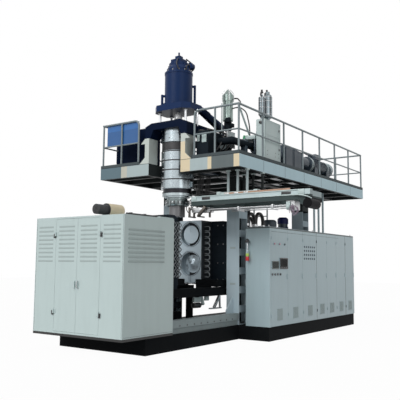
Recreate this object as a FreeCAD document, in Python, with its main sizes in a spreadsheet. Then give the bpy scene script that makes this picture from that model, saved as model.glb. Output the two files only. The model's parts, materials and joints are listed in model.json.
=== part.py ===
"""Accumulator-head blow moulding machine, modelled in millimetres.

The origin is on the floor below the axis of the extrusion head.  +X runs along the machine, in the
direction in which the mould opens, +Y across it and +Z up.  The skid, the clamp housing, the
columns and the platform are symmetrical about the plane Y = 0; the switch cabinets, the take-out
unit and the extruder are on the -Y side.
"""
import FreeCAD, Part
import math
import os
import Sketcher

Vector = FreeCAD.Vector

# ---------------------------------------------------------------- driving dimensions
DIMENSIONS = {
    "skid_start": -2166,  # end face of the skid below the clamp housing
    "skid_end": 5434,  # other end face of the skid
    "skid_half": 1035,  # half the width of the skid
    "skid_height": 281,  # height of the skid and of the cabinet plinth
    "skid_side": 335,  # width of the skid's long members
    "skid_cross": 160,  # width of the skid's cross members
    "rail_inner": 870,  # inner face of a bed rail
    "rail_outer": 1016,  # outer face of a bed rail and of a column
    "rail_start": -2020,  # end of the bed rails
    "rail_height": 239,  # height of a bed rail
    "rail_head": 134,  # depth of a bed rail's box head
    "rail_foot": 60,  # width of a bed rail's stem
    "column_front": 818,  # front face of the first pair of columns
    "column_rear": 3890,  # front face of the second pair of columns
    "column_depth": 340,  # depth of a column along the machine
    "column_width": 306,  # width of a column
    "flange_wall": 16,  # wall of the column flanges
    "web_wall": 12,  # wall of the column web
    "batten_wall": 12,  # thickness of the batten plates
    "batten_height": 145,  # height of a batten plate
    "batten_low": 255,  # first batten above the skid
    "batten_pitch": 391,  # distance between battens
    "column_plate": 22,  # thickness of the column's end plates
    "column_gusset": 250,  # reach of the foot gusset
    "gusset_rise": 335,  # height of the foot gusset
    "gusset_wall": 30,  # thickness of the gussets
    "platform_front": -453.5,  # front face of the platform
    "platform_end": 6072,  # rear face of the platform
    "platform_half": 1800,  # half the width of the platform
    "platform_depth": 242,  # depth of the platform beams
    "deck_level": 3598,  # top of the platform beams
    "deck_wall": 8,  # thickness of the deck plate
    "edge_beam": 80,  # width of the platform's edge beams
    "cross_beam": 100,  # width of the platform's cross beams
    "notch_half": 417,  # half the width of the notch for the head
    "notch_end": 450,  # inner end of the notch
    "toe_height": 62,  # height of the toe boards
    "toe_wall": 8,  # thickness of the toe boards
    "toe_start": 690,  # inner end of the front toe boards
    "rail_inset": 36,  # distance of the railing's axis from the platform edge
    "railing_height": 985,  # height of the top rail above the deck plate
    "mid_height": 478,  # height of the middle rail above the deck plate
    "tube_radius": 21,  # radius of the top rail
    "post_radius": 20,  # radius of the railing posts
    "mid_radius": 16,  # radius of the middle rail
    "bend_radius": 110,  # radius of the bent ends of the railing
    "end_post": 733,  # distance of the railing's bent end from the middle
    "side_post": 1222,  # distance of the front intermediate post from the middle
    "gate_start": 1150,  # side of the opening at the ladder
    "sign_start": 748,  # inner edge of the sign plate
    "sign_width": 928,  # width of the sign plate
    "sign_rise": 476,  # height of the lower edge of the sign plate above the deck plate
    "sign_height": 482,  # height of the sign plate
    "sign_wall": 4,  # thickness of the sign plate
    "ladder_side": 1225,  # inner stile of the ladder
    "ladder_width": 440,  # clear width of the ladder
    "stile_depth": 60,  # depth of a ladder stile
    "stile_wall": 20,  # thickness of a ladder stile
    "rung_radius": 14,  # radius of a rung
    "rung_pitch": 300,  # distance between the rungs
    "upstand_width": 110,  # width of a head upstand
    "upstand_depth": 283,  # depth of a head upstand
    "upbridge_top": 4140,  # top of the head upstands
    "upstand_plate": 30,  # thickness of the upstand's front plate
    "rear_upstand": 200,  # depth of the rear upstands
    "yoke_end": 545,  # half the length of the yoke
    "yoke_flat": 385,  # half the length of the yoke's flat top
    "yoke_shoulder": 4390,  # height of the yoke's ends
    "yoke_top": 4455,  # top of the yoke
    "yoke_arch": 4310,  # underside of the yoke between its legs
    "yoke_leg": 330,  # inner face of the yoke's legs
    "yoke_front": 430,  # half the depth of the yoke
    "yoke_beam": 330,  # thickness of each yoke beam
    "yoke_web": 300,  # half the width of the yoke's middle web
    "rod_radius": 36,  # radius of the mandrel rod
    "rod_clear": 0.4,  # clearance round the mandrel rod
    "tie_radius": 26,  # radius of the four tower rods
    "tie_x": 194,  # distance of the tower rods from the axis along the machine
    "tie_y": 337,  # distance of the tower rods from the axis across it
    "plate_low": 4720,  # underside of the cylinder plate
    "plate_wall": 130,  # thickness of the cylinder plate
    "plate_x": 345,  # half the depth of the cylinder plate
    "plate_y": 470,  # half the length of the cylinder plate
    "plate_cut": 150,  # cut corner of the cylinder plate
    "tower_radius": 296,  # radius of the injection cylinder
    "tower_foot": 334,  # radius of the cylinder's foot flange
    "foot_wall": 45,  # thickness of the foot flange
    "tower_height": 735,  # height of the injection cylinder
    "cap_radius": 258,  # radius of the cylinder cap
    "cap_height": 150,  # height of the cylinder cap
    "cap_bolt": 20,  # radius of a cap bolt's head
    "cap_bolt_height": 26,  # height of a cap bolt's head
    "dome_radius": 200,  # radius of the cap's upper step
    "dome_height": 62,  # height of the cap's upper step
    "block_side": 250,  # side of the valve block
    "block_height": 85,  # height of the valve block
    "sensor_side": 120,  # side of the stroke sensor's housing
    "sensor_height": 80,  # height of the stroke sensor's housing
    "sensor_tip": 18,  # radius of the sensor's plug
    "sensor_tip_height": 85,  # height of the sensor's plug
    "valve_radius": 72,  # radius of the side valve
    "valve_length": 110,  # length of the side valve
    "pipe_radius": 27,  # radius of the oil pipes
    "pipe_standoff": 350,  # distance of the oil pipes from the axis
    "coupling_radius": 85,  # radius of the rod coupling
    "coupling_low": 4580,  # underside of the rod coupling
    "coupling_height": 105,  # height of the rod coupling
    "barrel_radius": 285,  # radius of the head's barrel
    "barrel_bore": 70,  # radius of the melt space
    "barrel_low": 2890,  # underside of the barrel
    "lower_flange": 316,  # radius of the barrel's lower flange
    "lower_flange_low": 2919,  # underside of the lower flange
    "lower_flange_top": 3004,  # top of the lower flange
    "seat_radius": 300,  # radius of the barrel's step above the lower flange
    "seat_top": 3067,  # top of that step
    "band_radius": 316,  # outer radius of the heater bands
    "band_height": 186,  # height of a heater band
    "band_pitch": 197,  # distance between the heater bands
    "band_clear": 0.4,  # clearance below and inside a heater band
    "head_flange": 297,  # radius of the head's top flange
    "head_flange_low": 4020,  # underside of the head's top flange
    "terminal_width": 60,  # width of a band's terminal box
    "terminal_reach": 70,  # reach of a band's terminal box
    "terminal_height": 110,  # height of a band's terminal box
    "die_holder": 213,  # radius of the die holder
    "die_holder_low": 2729,  # underside of the die holder
    "die_neck": 165,  # radius of the die ring
    "die_low": 2498,  # underside of the die ring
    "die_mouth": 92,  # radius of the die's mouth
    "die_throat": 60,  # radius of the die's throat
    "die_lip": 150,  # height of the die's conical mouth
    "mandrel_radius": 80,  # radius of the mandrel at the mouth
    "melt_radius": 75,  # radius of the melt pipe
    "extruder_y": -1300,  # distance of the extruder's axis from the middle
    "extruder_z": 4000,  # height of the extruder's axis
    "guard_radius": 130,  # radius of the barrel guard
    "guard_start": 1000,  # front end of the barrel guard
    "guard_end": 2040,  # rear end of the barrel guard
    "gearbox_end": 2955,  # rear end of the gearbox
    "gearbox_half": 170,  # half the width of the gearbox
    "gearbox_top": 4225,  # top of the gearbox
    "bell_end": 3390,  # rear end of the coupling housing
    "bell_radius": 150,  # radius of the coupling housing
    "motor_start": 3480,  # front face of the motor
    "motor_end": 4750,  # rear face of the motor
    "motor_radius": 165,  # radius of the motor
    "motor_flange": 185,  # radius of the motor's flanges
    "shaft_radius": 60,  # radius of the coupling between gearbox and motor
    "feeder_start": 705,  # front face of the feeder
    "feeder_end": 1395,  # rear face of the feeder
    "feeder_near": -1700,  # near face of the feeder
    "feeder_far": -1500,  # far face of the feeder
    "feeder_top": 4520,  # top of the feeder
    "feeder_low": 4250,  # underside of the feeder's duct
    "loader_x": 1020,  # position of the larger loader
    "loader_radius": 85,  # radius of the larger loader
    "loader_height": 560,  # height of the larger loader
    "small_loader_x": 765,  # position of the smaller loader
    "small_loader_radius": 58,  # radius of the smaller loader
    "small_loader_height": 470,  # height of the smaller loader
    "hopper_x": 1020,  # position of the front hopper
    "hopper_y": -600,  # position of the front hopper
    "hopper_radius": 80,  # radius of the front hopper
    "hopper_rim": 123,  # radius of the front hopper's rim
    "hopper_lip": 140,  # height of the front hopper's rim
    "hopper_crown": 133,  # height of the front hopper's cone
    "hopper_low": 4560,  # underside of the front hopper's body
    "hopper_top": 5250,  # top of the front hopper's body
    "hopper_post": 70,  # side of the hopper's post
    "stay_y": -400,  # position of the tower stay
    "stay_end": 1130,  # far face of the tower stay
    "stay_width": 60,  # width of the tower stay
    "stay_depth": 90,  # depth of the tower stay
    "stay_drop": 235,  # fall of the tower stay
    "oil_box_start": 0,  # front face of the accumulator cabinet
    "oil_box_depth": 450,  # depth of the accumulator cabinet
    "oil_box_inner": 850,  # inner face of the accumulator cabinet
    "oil_box_outer": 1650,  # outer face of the accumulator cabinet
    "oil_box_top": 4500,  # top of the accumulator cabinet
    "oil_box_cut": 130,  # cut lower corners of the accumulator cabinet
    "housing_start": -2770,  # door face of the clamp housing
    "housing_end": -1470,  # open end of the clamp housing
    "housing_half": 1063,  # half the width of the clamp housing
    "housing_low": 325,  # underside of the clamp housing
    "housing_top": 2315,  # top of the clamp housing
    "housing_wall": 20,  # wall of the clamp housing
    "door_frame": 30,  # width of the frame round the housing doors
    "door_half": 540,  # half the width of the housing's doorway
    "door_gap": 4,  # gap round a door
    "sill_width": 110,  # width of the sill frame under the housing
    "louvre_low": 1545,  # first louvre row of the housing doors
    "louvre_pitch": 74,  # distance between the louvre rows
    "louvre_height": 16,  # height of a louvre slot
    "louvre_margin": 75,  # margin beside the louvre slots
    "hinge_radius": 15,  # radius of a hinge barrel
    "hinge_height": 70,  # height of a hinge barrel
    "hinge_high": 1985,  # height of the upper hinge
    "hinge_low": 659,  # height of the lower hinge
    "strap_width": 46,  # width of a hinge strap
    "strap_wall": 5,  # thickness of a hinge strap
    "lever_level": 1160,  # height of the housing's door handles
    "lever_height": 120,  # height of a door handle
    "lever_width": 24,  # width of a door handle
    "lever_reach": 28,  # reach of a door handle
    "guide_inner": 540,  # inner face of a guide beam
    "guide_outer": 680,  # outer face of a guide beam
    "guide_low": 880,  # underside of the guide beams
    "guide_top": 1050,  # top of the guide beams
    "guide_start": -1700,  # end of the guide beams in the housing
    "guide_end": 1380,  # other end of the guide beams
    "guide_post": 90,  # width of a rear guide pedestal
    "platen_half": 690,  # half the width of a platen
    "platen_low": 1100,  # underside of a platen
    "platen_top": 2450,  # top of a platen
    "platen_face": 850,  # distance of a platen's face from the parting plane
    "platen_wall": 200,  # thickness of a platen
    "platen_cut": 90,  # cut corner of a platen
    "slide_clear": 0.3,  # clearance under the slide blocks
    "mould_open": 480,  # distance of a mould face from the parting plane
    "mould_half": 290,  # half the width of a mould
    "mould_low": 1210,  # underside of a mould
    "mould_top": 2450,  # top of a mould
    "upper_cavity": 2155,  # height of the upper cavity's centre
    "lower_cavity": 1530,  # height of the lower cavity's centre
    "cavity_radius": 250,  # radius of a cavity
    "core_radius": 195,  # radius of the disc in a cavity
    "cavity_depth": 110,  # depth of a cavity
    "disc_depth": 28,  # depth of the upper cavity's disc
    "dome_rise": 80,  # rise of the lower cavity's dome
    "groove_radius": 278,  # outer radius of the ring groove
    "groove_width": 12,  # width of the ring groove
    "groove_depth": 14,  # depth of the ring groove
    "neck_radius": 34,  # radius of the neck bore
    "neck_block": 140,  # half the width of the bottom neck block
    "neck_block_height": 88,  # height of the bottom neck block
    "hose_radius": 12,  # half the side of a cooling hose
    "hose_bend": 42,  # bend radius of a cooling hose
    "hose_leg": 75,  # straight length of a cooling hose
    "hose_first": 1300,  # height of the lowest cooling hose
    "hose_pitch": 122,  # distance between the cooling hoses
    "hose_x": 110,  # distance of the cooling hoses from the mould face
    "ram_radius": 85,  # radius of the clamp ram
    "ram_bore": 120,  # radius of the clamp cylinder's bore
    "ram_head": 118,  # radius of the ram's piston
    "ram_level": 1750,  # height of the clamp cylinder's axis
    "ram_length": 1150,  # length of the clamp ram
    "piston_length": 140,  # length of the ram's piston
    "clamp_radius": 190,  # radius of the clamp cylinder
    "clamp_end": -2480,  # closed end of the clamp cylinder
    "clamp_plate_face": -1480,  # front face of the clamp plate
    "clamp_plate_wall": 130,  # thickness of the clamp plate
    "pin_radius": 22,  # radius of the blow pin
    "pin_top": 1200,  # top of the blow pin
    "pin_collar": 40,  # height of the blow pin's collar
    "bridge_half": 60,  # half the width of the blow pin's bridge
    "bridge_top": 950,  # top of the blow pin's bridge
    "bridge_low": 860,  # underside of the blow pin's bridge
    "foot_top": 555,  # top of the block under the blow pin
    "foot_half": 80,  # half the width of the block under the blow pin
    "takeout_start": -160,  # near side of the take-out frame's first beam
    "takeout_width": 705,  # width of the take-out frame
    "takeout_beam": 110,  # width of the take-out frame's beams
    "takeout_low": 2690,  # underside of the take-out frame
    "takeout_top": 2880,  # top of the take-out frame
    "takeout_inner": -480,  # inner end of the take-out frame
    "takeout_outer": -3000,  # outer end of the take-out frame
    "hanger_radius": 26,  # radius of the hanger rods
    "bar_radius": 22,  # radius of the take-out bars
    "bar_level": 2610,  # height of the take-out bars
    "bar_inner": -830,  # inner end of the take-out bars
    "gripper_head": 45,  # half the height of the gripper head
    "carriage_y": -2600,  # inner face of the take-out carriage
    "carriage_length": 160,  # length of the take-out carriage
    "arm_wall": 22,  # thickness of a gripper arm
    "arm_width": 46,  # width of a gripper arm
    "arm_length": 152,  # length of a gripper arm
    "arm_eye": 24,  # radius of a gripper arm's eye
    "arm_pivot": 11,  # radius of a gripper pivot
    "far_pivot": -440,  # position of the far gripper pivot
    "hanger_y": 1335,  # position of the first hanger rod
    "hanger_pitch": 215,  # distance between the hanger rods
    "servo_radius": 88,  # radius of the take-out's drive
    "servo_length": 380,  # length of the take-out's drive
    "tank_start": 1700,  # front face of the oil tank
    "tank_end": 3860,  # rear face of the oil tank
    "tank_near": -700,  # near face of the oil tank
    "tank_far": -200,  # far face of the oil tank
    "tank_top": 1500,  # top of the oil tank
    "pump_x": 3095,  # position of the first pump motor
    "pump_y": -510,  # position of the first pump motor
    "pump_radius": 150,  # radius of the first pump motor
    "pump_top": 2620,  # top of the first pump motor
    "second_pump_x": 3730,  # position of the second pump motor
    "second_pump_y": -540,  # position of the second pump motor
    "second_pump_radius": 122,  # radius of the second pump motor
    "second_pump_top": 2725,  # top of the second pump motor
    "loop_radius": 30,  # radius of the hydraulic hoses
    "loop_start": 1880,  # first leg of the hydraulic hoses
    "loop_y": -590,  # position of the hydraulic hoses
    "loop_bend": 162,  # bend radius of the hydraulic hoses
    "loop_pitch": 400,  # distance between the hydraulic hoses
    "loop_top": 2745,  # top of the hydraulic hoses
    "cabinet_start": 790,  # near end of the switch cabinets
    "cabinet_split": 3043,  # joint between the two switch cabinets
    "cabinet_end": 5384,  # far end of the switch cabinets
    "cabinet_front": -1758,  # outer face of the cabinet doors
    "cabinet_back": -1198,  # back of the switch cabinets
    "cabinet_height": 2000,  # height of the switch cabinets
    "cabinet_wall": 20,  # wall of the switch cabinets
    "cabinet_door": 22,  # thickness of a cabinet door
    "vent_width": 250,  # width of a door vent
    "vent_slot": 16,  # height of a vent slot
    "vent_pitch": 46,  # distance between the vent slots
    "vent_low": 130,  # first vent slot above the door's lower edge
    "handle_width": 20,  # width of a door handle
    "handle_height": 110,  # height of a door handle
    "handle_reach": 12,  # reach of a door handle
    "door_stile": 60,  # width of the near cabinet's front stile
    "knuckle_radius": 6,  # radius of a cabinet hinge's barrel
    "knuckle_height": 60,  # height of a cabinet hinge
    "knuckle_strap": 36,  # width of a cabinet hinge's strap
    "knuckle_margin": 180,  # distance of the cabinet hinges from a door's ends
    "screen_low": 1437,  # underside of the operator screens
    "screen_height": 163,  # height of the left operator screen
    "screen_tall": 230,  # height of the right operator screen
    "screen_start": 866,  # near side of the left operator screen
    "screen_width": 297,  # width of the left operator screen
    "screen_next": 1208,  # near side of the right operator screen
    "screen_wide": 356,  # width of the right operator screen
    "screen_reach": 12,  # reach of the screen frames
    "button_radius": 17,  # radius of a push button
    "button_reach": 14,  # reach of a push button
    "button_level": 1328,  # height of the push buttons
    "button_start": 888,  # position of the first push button
    "button_pitch": 115,  # distance between the push buttons
    "collar_reach": 6,  # reach of a button's collar
    "lamp_level": 1950,  # height of the pilot lamps
    "lamp_start": 975,  # position of the first pilot lamp
    "lamp_pitch": 226,  # distance between the pilot lamps
    "lamp_radius": 26,  # radius of a pilot lamp
    "beacon_y": -1277,  # position of the signal lamp
    "beacon_reach": 70,  # distance of the signal lamp from the cabinet
    "beacon_low": 1600,  # underside of the signal lamp
    "beacon_radius": 26,  # radius of the signal lamp
    "conduit_radius": 26,  # radius of a cable conduit
    "conduit_x": 3738,  # position of the first conduit
    "conduit_y": -1400,  # distance of the conduits from the middle
    "fan_x": -1800,  # rear end of the housing's fan motor
    "fan_length": 617,  # length of the fan motor
    "fan_radius": 120,  # radius of the fan motor
    "fan_rise": 155,  # height of the fan motor's axis above the housing
    "fan_y": -60,  # position of the fan motor
}

# counts of what repeats
FRONT_BAYS = 3
REAR_BAYS = 8
DECK_BAYS = 7
RAIL_BAYS = 7
BATTENS = 7
RUNGS = 13
LOUVRES = 9
SIDE_LOUVRES = 8
BANDS = 4
CAP_BOLTS = 8
HOLDER_BOLTS = 12
HOSES = 9
HANGERS = 3
NEAR_DOORS = 3
FAR_DOORS = 4
VENT_SLOTS = 5
LAMPS = 3
BUTTONS = 4
CONDUITS = 3


class Size:
    """A length that carries its value and the spreadsheet formula that it comes from."""

    def __init__(self, value, formula):
        self.value, self.formula = value, formula

    @staticmethod
    def of(thing):
        return thing if isinstance(thing, Size) else Size(float(thing), f"({float(thing)!r})")

    def join(self, other, sign, value):
        return Size(value, f"({self.formula} {sign} {Size.of(other).formula})")

    def __add__(self, other):
        return self.join(other, "+", self.value + Size.of(other).value)

    def __sub__(self, other):
        return self.join(other, "-", self.value - Size.of(other).value)

    def __mul__(self, other):
        return self.join(other, "*", self.value * Size.of(other).value)

    def __truediv__(self, other):
        return self.join(other, "/", self.value / Size.of(other).value)

    def __neg__(self):
        return Size(-self.value, f"(-{self.formula})")

    def __radd__(self, other):
        return Size.of(other) + self

    def __rsub__(self, other):
        return Size.of(other) - self

    def __rmul__(self, other):
        return Size.of(other) * self


class Sizes:
    """The named driving dimensions."""


DOC = FreeCAD.newDocument("BlowMouldingMachine")
SHEET = DOC.addObject("Spreadsheet::Sheet", "dims")
D = Sizes()
for row, (word, number) in enumerate(DIMENSIONS.items(), start=1):
    SHEET.set(f"A{row}", word)
    SHEET.set(f"B{row}", str(number))
    SHEET.setAlias(f"B{row}", word)
    setattr(D, word, Size(float(number), f"dims.{word}"))
DOC.recompute()
NODES = []


# ---------------------------------------------------------------- small tools
def bind(thing, prop, size):
    thing.setExpression(prop, Size.of(size).formula)


def place(thing, x=0, y=0, z=0):
    """Puts a document object at a named place."""
    for axis, size in zip("xyz", (x, y, z)):
        bind(thing, f"Placement.Base.{axis}", size)
    return thing


def node(thing, label):
    """Marks a document object as a finished piece of the machine."""
    thing.Label = label
    NODES.append((label, thing))
    return thing


def block(x, y, z):
    """A box between two named places on each axis."""
    thing = DOC.addObject("Part::Box", "block")
    for prop, (low, high) in zip(("Length", "Width", "Height"), (x, y, z)):
        bind(thing, prop, Size.of(high) - low)
    return place(thing, x[0], y[0], z[0])


TURNS = {
    "X": FreeCAD.Rotation(Vector(0, 1, 0), 90),
    "Y": FreeCAD.Rotation(Vector(1, 0, 0), -90),
    "Z": FreeCAD.Rotation(),
    "arch": FreeCAD.Rotation(Vector(1, 0, 0), 90),
}


def rod(radius, length, at, axis="Z"):
    """A round bar from a place along +X, +Y or +Z."""
    thing = DOC.addObject("Part::Cylinder", "rod")
    bind(thing, "Radius", radius)
    bind(thing, "Height", length)
    thing.Placement = FreeCAD.Placement(Vector(), TURNS[axis])
    return place(thing, *at)


def cone(low_radius, high_radius, height, at):
    thing = DOC.addObject("Part::Cone", "cone")
    bind(thing, "Radius1", low_radius)
    bind(thing, "Radius2", high_radius)
    bind(thing, "Height", height)
    return place(thing, *at)


def fuse(pieces):
    thing = DOC.addObject("Part::MultiFuse", "union")
    thing.Shapes = pieces
    thing.Refine = True
    return thing


def cut(base, tools):
    thing = DOC.addObject("Part::Cut", "difference")
    thing.Base = base
    thing.Tool = tools[0] if len(tools) == 1 else fuse(tools)
    return thing


def group(pieces):
    """Like pieces that share one node and do not touch."""
    thing = DOC.addObject("Part::Compound", "set")
    thing.Links = pieces
    return thing


class Body:
    """A part built from sketches on its own origin planes."""

    def __init__(self, name):
        self.body = DOC.addObject("PartDesign::Body", name)
        self.planes = {f.Role[:2]: f for f in self.body.Origin.OriginFeatures if "Plane" in f.Role}

    def sketch(self, plane, loops=(), circles=()):
        """A sketch of closed outlines, given by their corners, and of circles."""
        drawing = self.body.newObject("Sketcher::SketchObject", "sketch")
        drawing.AttachmentSupport = [(self.planes[plane], "")]
        drawing.MapMode = "FlatFace"
        edges = 0
        for corners in loops:
            points = [(Size.of(corner[0]), Size.of(corner[1])) for corner in corners]
            count = len(points)
            starts = []
            for i, (u, v) in enumerate(points):
                to_u, to_v = points[(i + 1) % count]
                start, end = Vector(u.value, v.value, 0), Vector(to_u.value, to_v.value, 0)
                if len(corners[i]) == 2:
                    drawing.addGeometry(Part.LineSegment(start, end), False)
                    starts.append(1)
                else:
                    starts.append(self.arc(drawing, start, end, corners[i][2]))
            for i in range(count):
                after = (i + 1) % count
                drawing.addConstraint(
                    Sketcher.Constraint("Coincident", edges + i, 3 - starts[i], edges + after, starts[after])
                )
            for i, (u, v) in enumerate(points):
                self.tie(drawing, "DistanceX", edges + i, starts[i], u)
                self.tie(drawing, "DistanceY", edges + i, starts[i], v)
                if len(corners[i]) == 3:
                    index = drawing.addConstraint(Sketcher.Constraint("Radius", edges + i, corners[i][2][0].value))
                    drawing.setExpression(f"Constraints[{index}]", corners[i][2][0].formula)
            edges += count
        for u, v, radius in circles:
            u, v, radius = Size.of(u), Size.of(v), Size.of(radius)
            drawing.addGeometry(Part.Circle(Vector(u.value, v.value, 0), Vector(0, 0, 1), radius.value), False)
            self.tie(drawing, "DistanceX", edges, 3, u)
            self.tie(drawing, "DistanceY", edges, 3, v)
            index = drawing.addConstraint(Sketcher.Constraint("Radius", edges, radius.value))
            drawing.setExpression(f"Constraints[{index}]", radius.formula)
            edges += 1
        return drawing

    @staticmethod
    def arc(drawing, start, end, bend):
        """An arc edge of a given radius; returns which of its ends comes first."""
        radius, left = bend[0].value, bend[1]
        chord = end - start
        middle = start + chord / 2
        normal = Vector(-chord.y, chord.x, 0).normalize()
        height = math.sqrt(radius * radius - chord.Length * chord.Length / 4)
        centre = middle + normal * (height if left else -height)
        first, last = (start, end) if left else (end, start)
        angles = [math.atan2(p.y - centre.y, p.x - centre.x) for p in (first, last)]
        if angles[1] < angles[0]:
            angles[1] += 2 * math.pi
        drawing.addGeometry(Part.ArcOfCircle(Part.Circle(centre, Vector(0, 0, 1), radius), *angles), False)
        return 1 if left else 2

    @staticmethod
    def tie(drawing, kind, edge, point, size):
        """Holds one coordinate of a sketch point at a named distance from the origin."""
        index = drawing.addConstraint(Sketcher.Constraint(kind, -1, 1, edge, point, size.value))
        drawing.setExpression(f"Constraints[{index}]", size.formula)

    def pad(self, drawing, length, start=0, both=False, back=False):
        feature = self.body.newObject("PartDesign::Pad", "pad")
        feature.Profile = drawing
        drawing.AttachmentOffset = FreeCAD.Placement()
        bind(drawing, "AttachmentOffset.Base.z", start)
        bind(feature, "Length", length)
        feature.Midplane = both
        feature.Reversed = back
        return feature

    def pocket(self, drawing, depth, start=0, both=False, back=False):
        feature = self.body.newObject("PartDesign::Pocket", "pocket")
        feature.Profile = drawing
        bind(drawing, "AttachmentOffset.Base.z", start)
        bind(feature, "Length", depth)
        feature.Midplane = both
        feature.Reversed = back
        return feature

    def revolve(self, corners):
        """A turned form: corners are radius and height, and the axis is Z."""
        drawing = self.sketch("XZ", [corners])
        feature = self.body.newObject("PartDesign::Revolution", "turned")
        feature.Profile = drawing
        feature.ReferenceAxis = (drawing, ["V_Axis"])
        feature.Angle = 360
        return feature

    def hollow(self, corners, level):
        """A turned recess: corners are depth and radius, and the axis runs along X at a level."""
        drawing = self.sketch("XZ", [corners])
        bind(drawing, "AttachmentOffset.Base.y", level)
        feature = self.body.newObject("PartDesign::Groove", "recess")
        feature.Profile = drawing
        feature.ReferenceAxis = (drawing, ["H_Axis"])
        feature.Angle = 360
        return feature

    def lines(self, feature, axis, length, count):
        """Repeats a feature along an axis of the body."""
        pattern = self.body.newObject("PartDesign::LinearPattern", "row")
        pattern.Originals = [feature]
        origin_axis = [f for f in self.body.Origin.OriginFeatures if f.Role == f"{axis}_Axis"][0]
        pattern.Direction = (origin_axis, [""])
        bind(pattern, "Length", length)
        pattern.Occurrences = count
        self.body.Tip = pattern
        return pattern

    def done(self, label, at=(0, 0, 0)):
        place(self.body, *at)
        return node(self.body, label)


def rectangle(x, y):
    return [(x[0], y[0]), (x[1], y[0]), (x[1], y[1]), (x[0], y[1])]


def mirrored(low, high):
    """The span on the other side of the middle plane."""
    return (-Size.of(high), -Size.of(low))


# ---------------------------------------------------------------- skid, plinth and bed rails
def skid():
    """The skid is a ladder frame with a cross member below the head's axis."""
    front_pitch = (-D.skid_cross / 2 - D.skid_start) / FRONT_BAYS
    rear_pitch = (D.skid_end - D.skid_cross / 2) / REAR_BAYS
    inner = D.skid_half - D.skid_side
    holes = []
    for bay in range(FRONT_BAYS):
        low = D.skid_start + front_pitch * bay + D.skid_cross
        holes.append(rectangle((low, low + front_pitch - D.skid_cross), (-inner, inner)))
    for bay in range(REAR_BAYS):
        low = D.skid_cross / 2 + rear_pitch * bay
        holes.append(rectangle((low, low + rear_pitch - D.skid_cross), (-inner, inner)))
    outline = [
        (D.skid_start, -D.skid_half), (D.cabinet_start, -D.skid_half),
        (D.cabinet_start, D.cabinet_front + D.cabinet_door), (D.cabinet_end, D.cabinet_front + D.cabinet_door),
        (D.cabinet_end, -D.skid_half), (D.skid_end, -D.skid_half), (D.skid_end, D.skid_half),
        (D.skid_start, D.skid_half),
    ]
    body = Body("skid")
    body.pad(body.sketch("XY", [outline] + holes), D.skid_height)
    body.done("base_skid")


def bed_rails():
    """Each bed rail is a box head on a narrower stem, seated on the skid."""
    middle = (D.rail_inner + D.rail_outer) / 2
    stem = (middle - D.rail_foot / 2, middle + D.rail_foot / 2)
    top = D.skid_height + D.rail_height
    step = top - D.rail_head
    rails = []
    for side in (-1, 1):
        corners = [
            (stem[0], D.skid_height), (stem[1], D.skid_height), (stem[1], step), (D.rail_outer, step),
            (D.rail_outer, top), (D.rail_inner, top), (D.rail_inner, step), (stem[0], step),
        ]
        body = Body("rail")
        outline = [(u * side, v) for u, v in corners]
        body.pad(body.sketch("YZ", [outline]), D.column_front - D.rail_start, start=D.rail_start)
        rails.append(body.body)
    node(group(rails), "bed_rails")


# ---------------------------------------------------------------- columns and platform
def column(front, side, gusset):
    """A column is an H section closed by rows of batten plates on both open sides."""
    underside = D.deck_level - D.platform_depth
    height = underside - D.skid_height
    half = D.column_width / 2
    web = D.web_wall / 2
    inner = (D.flange_wall, D.column_depth - D.flange_wall)
    section = [
        (0, -half), (inner[0], -half), (inner[0], -web), (inner[1], -web), (inner[1], -half),
        (D.column_depth, -half), (D.column_depth, half), (inner[1], half), (inner[1], web),
        (inner[0], web), (inner[0], half), (0, half),
    ]
    body = Body("column")
    body.pad(body.sketch("XY", [section]), height)
    for start in (0, height - D.column_plate):
        end = body.sketch("XY", [rectangle((0, D.column_depth), (-half, half))])
        body.pad(end, D.column_plate, start=start)
    plates = [rectangle(inner, (half - D.batten_wall, half)), rectangle(inner, (-half, D.batten_wall - half))]
    batten = body.pad(body.sketch("XY", plates), D.batten_height, start=D.batten_low)
    body.lines(batten, "Z", D.batten_pitch * (BATTENS - 1), BATTENS)
    if gusset:
        foot = D.rail_height
        wedge = [
            (0, foot), (-D.column_gusset, foot), (-D.column_gusset, foot + D.column_plate * 3),
            (0, foot + D.gusset_rise),
        ]
        body.pad(body.sketch("XZ", [wedge]), D.gusset_wall, both=True)
    return place(body.body, front, (D.rail_outer - half) * side, D.skid_height)


def columns():
    front = [column(D.column_front, side, True) for side in (-1, 1)]
    rear = [column(D.column_rear, side, False) for side in (-1, 1)]
    node(group(front + rear), "platform_columns")


def platform_outline():
    """The platform's plan: a rectangle with a notch that lets the head pass."""
    front, end, half = D.platform_front, D.platform_end, D.platform_half
    return [
        (front, -half), (end, -half), (end, half), (front, half), (front, D.notch_half),
        (D.notch_end, D.notch_half), (D.notch_end, -D.notch_half), (front, -D.notch_half),
    ]


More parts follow.
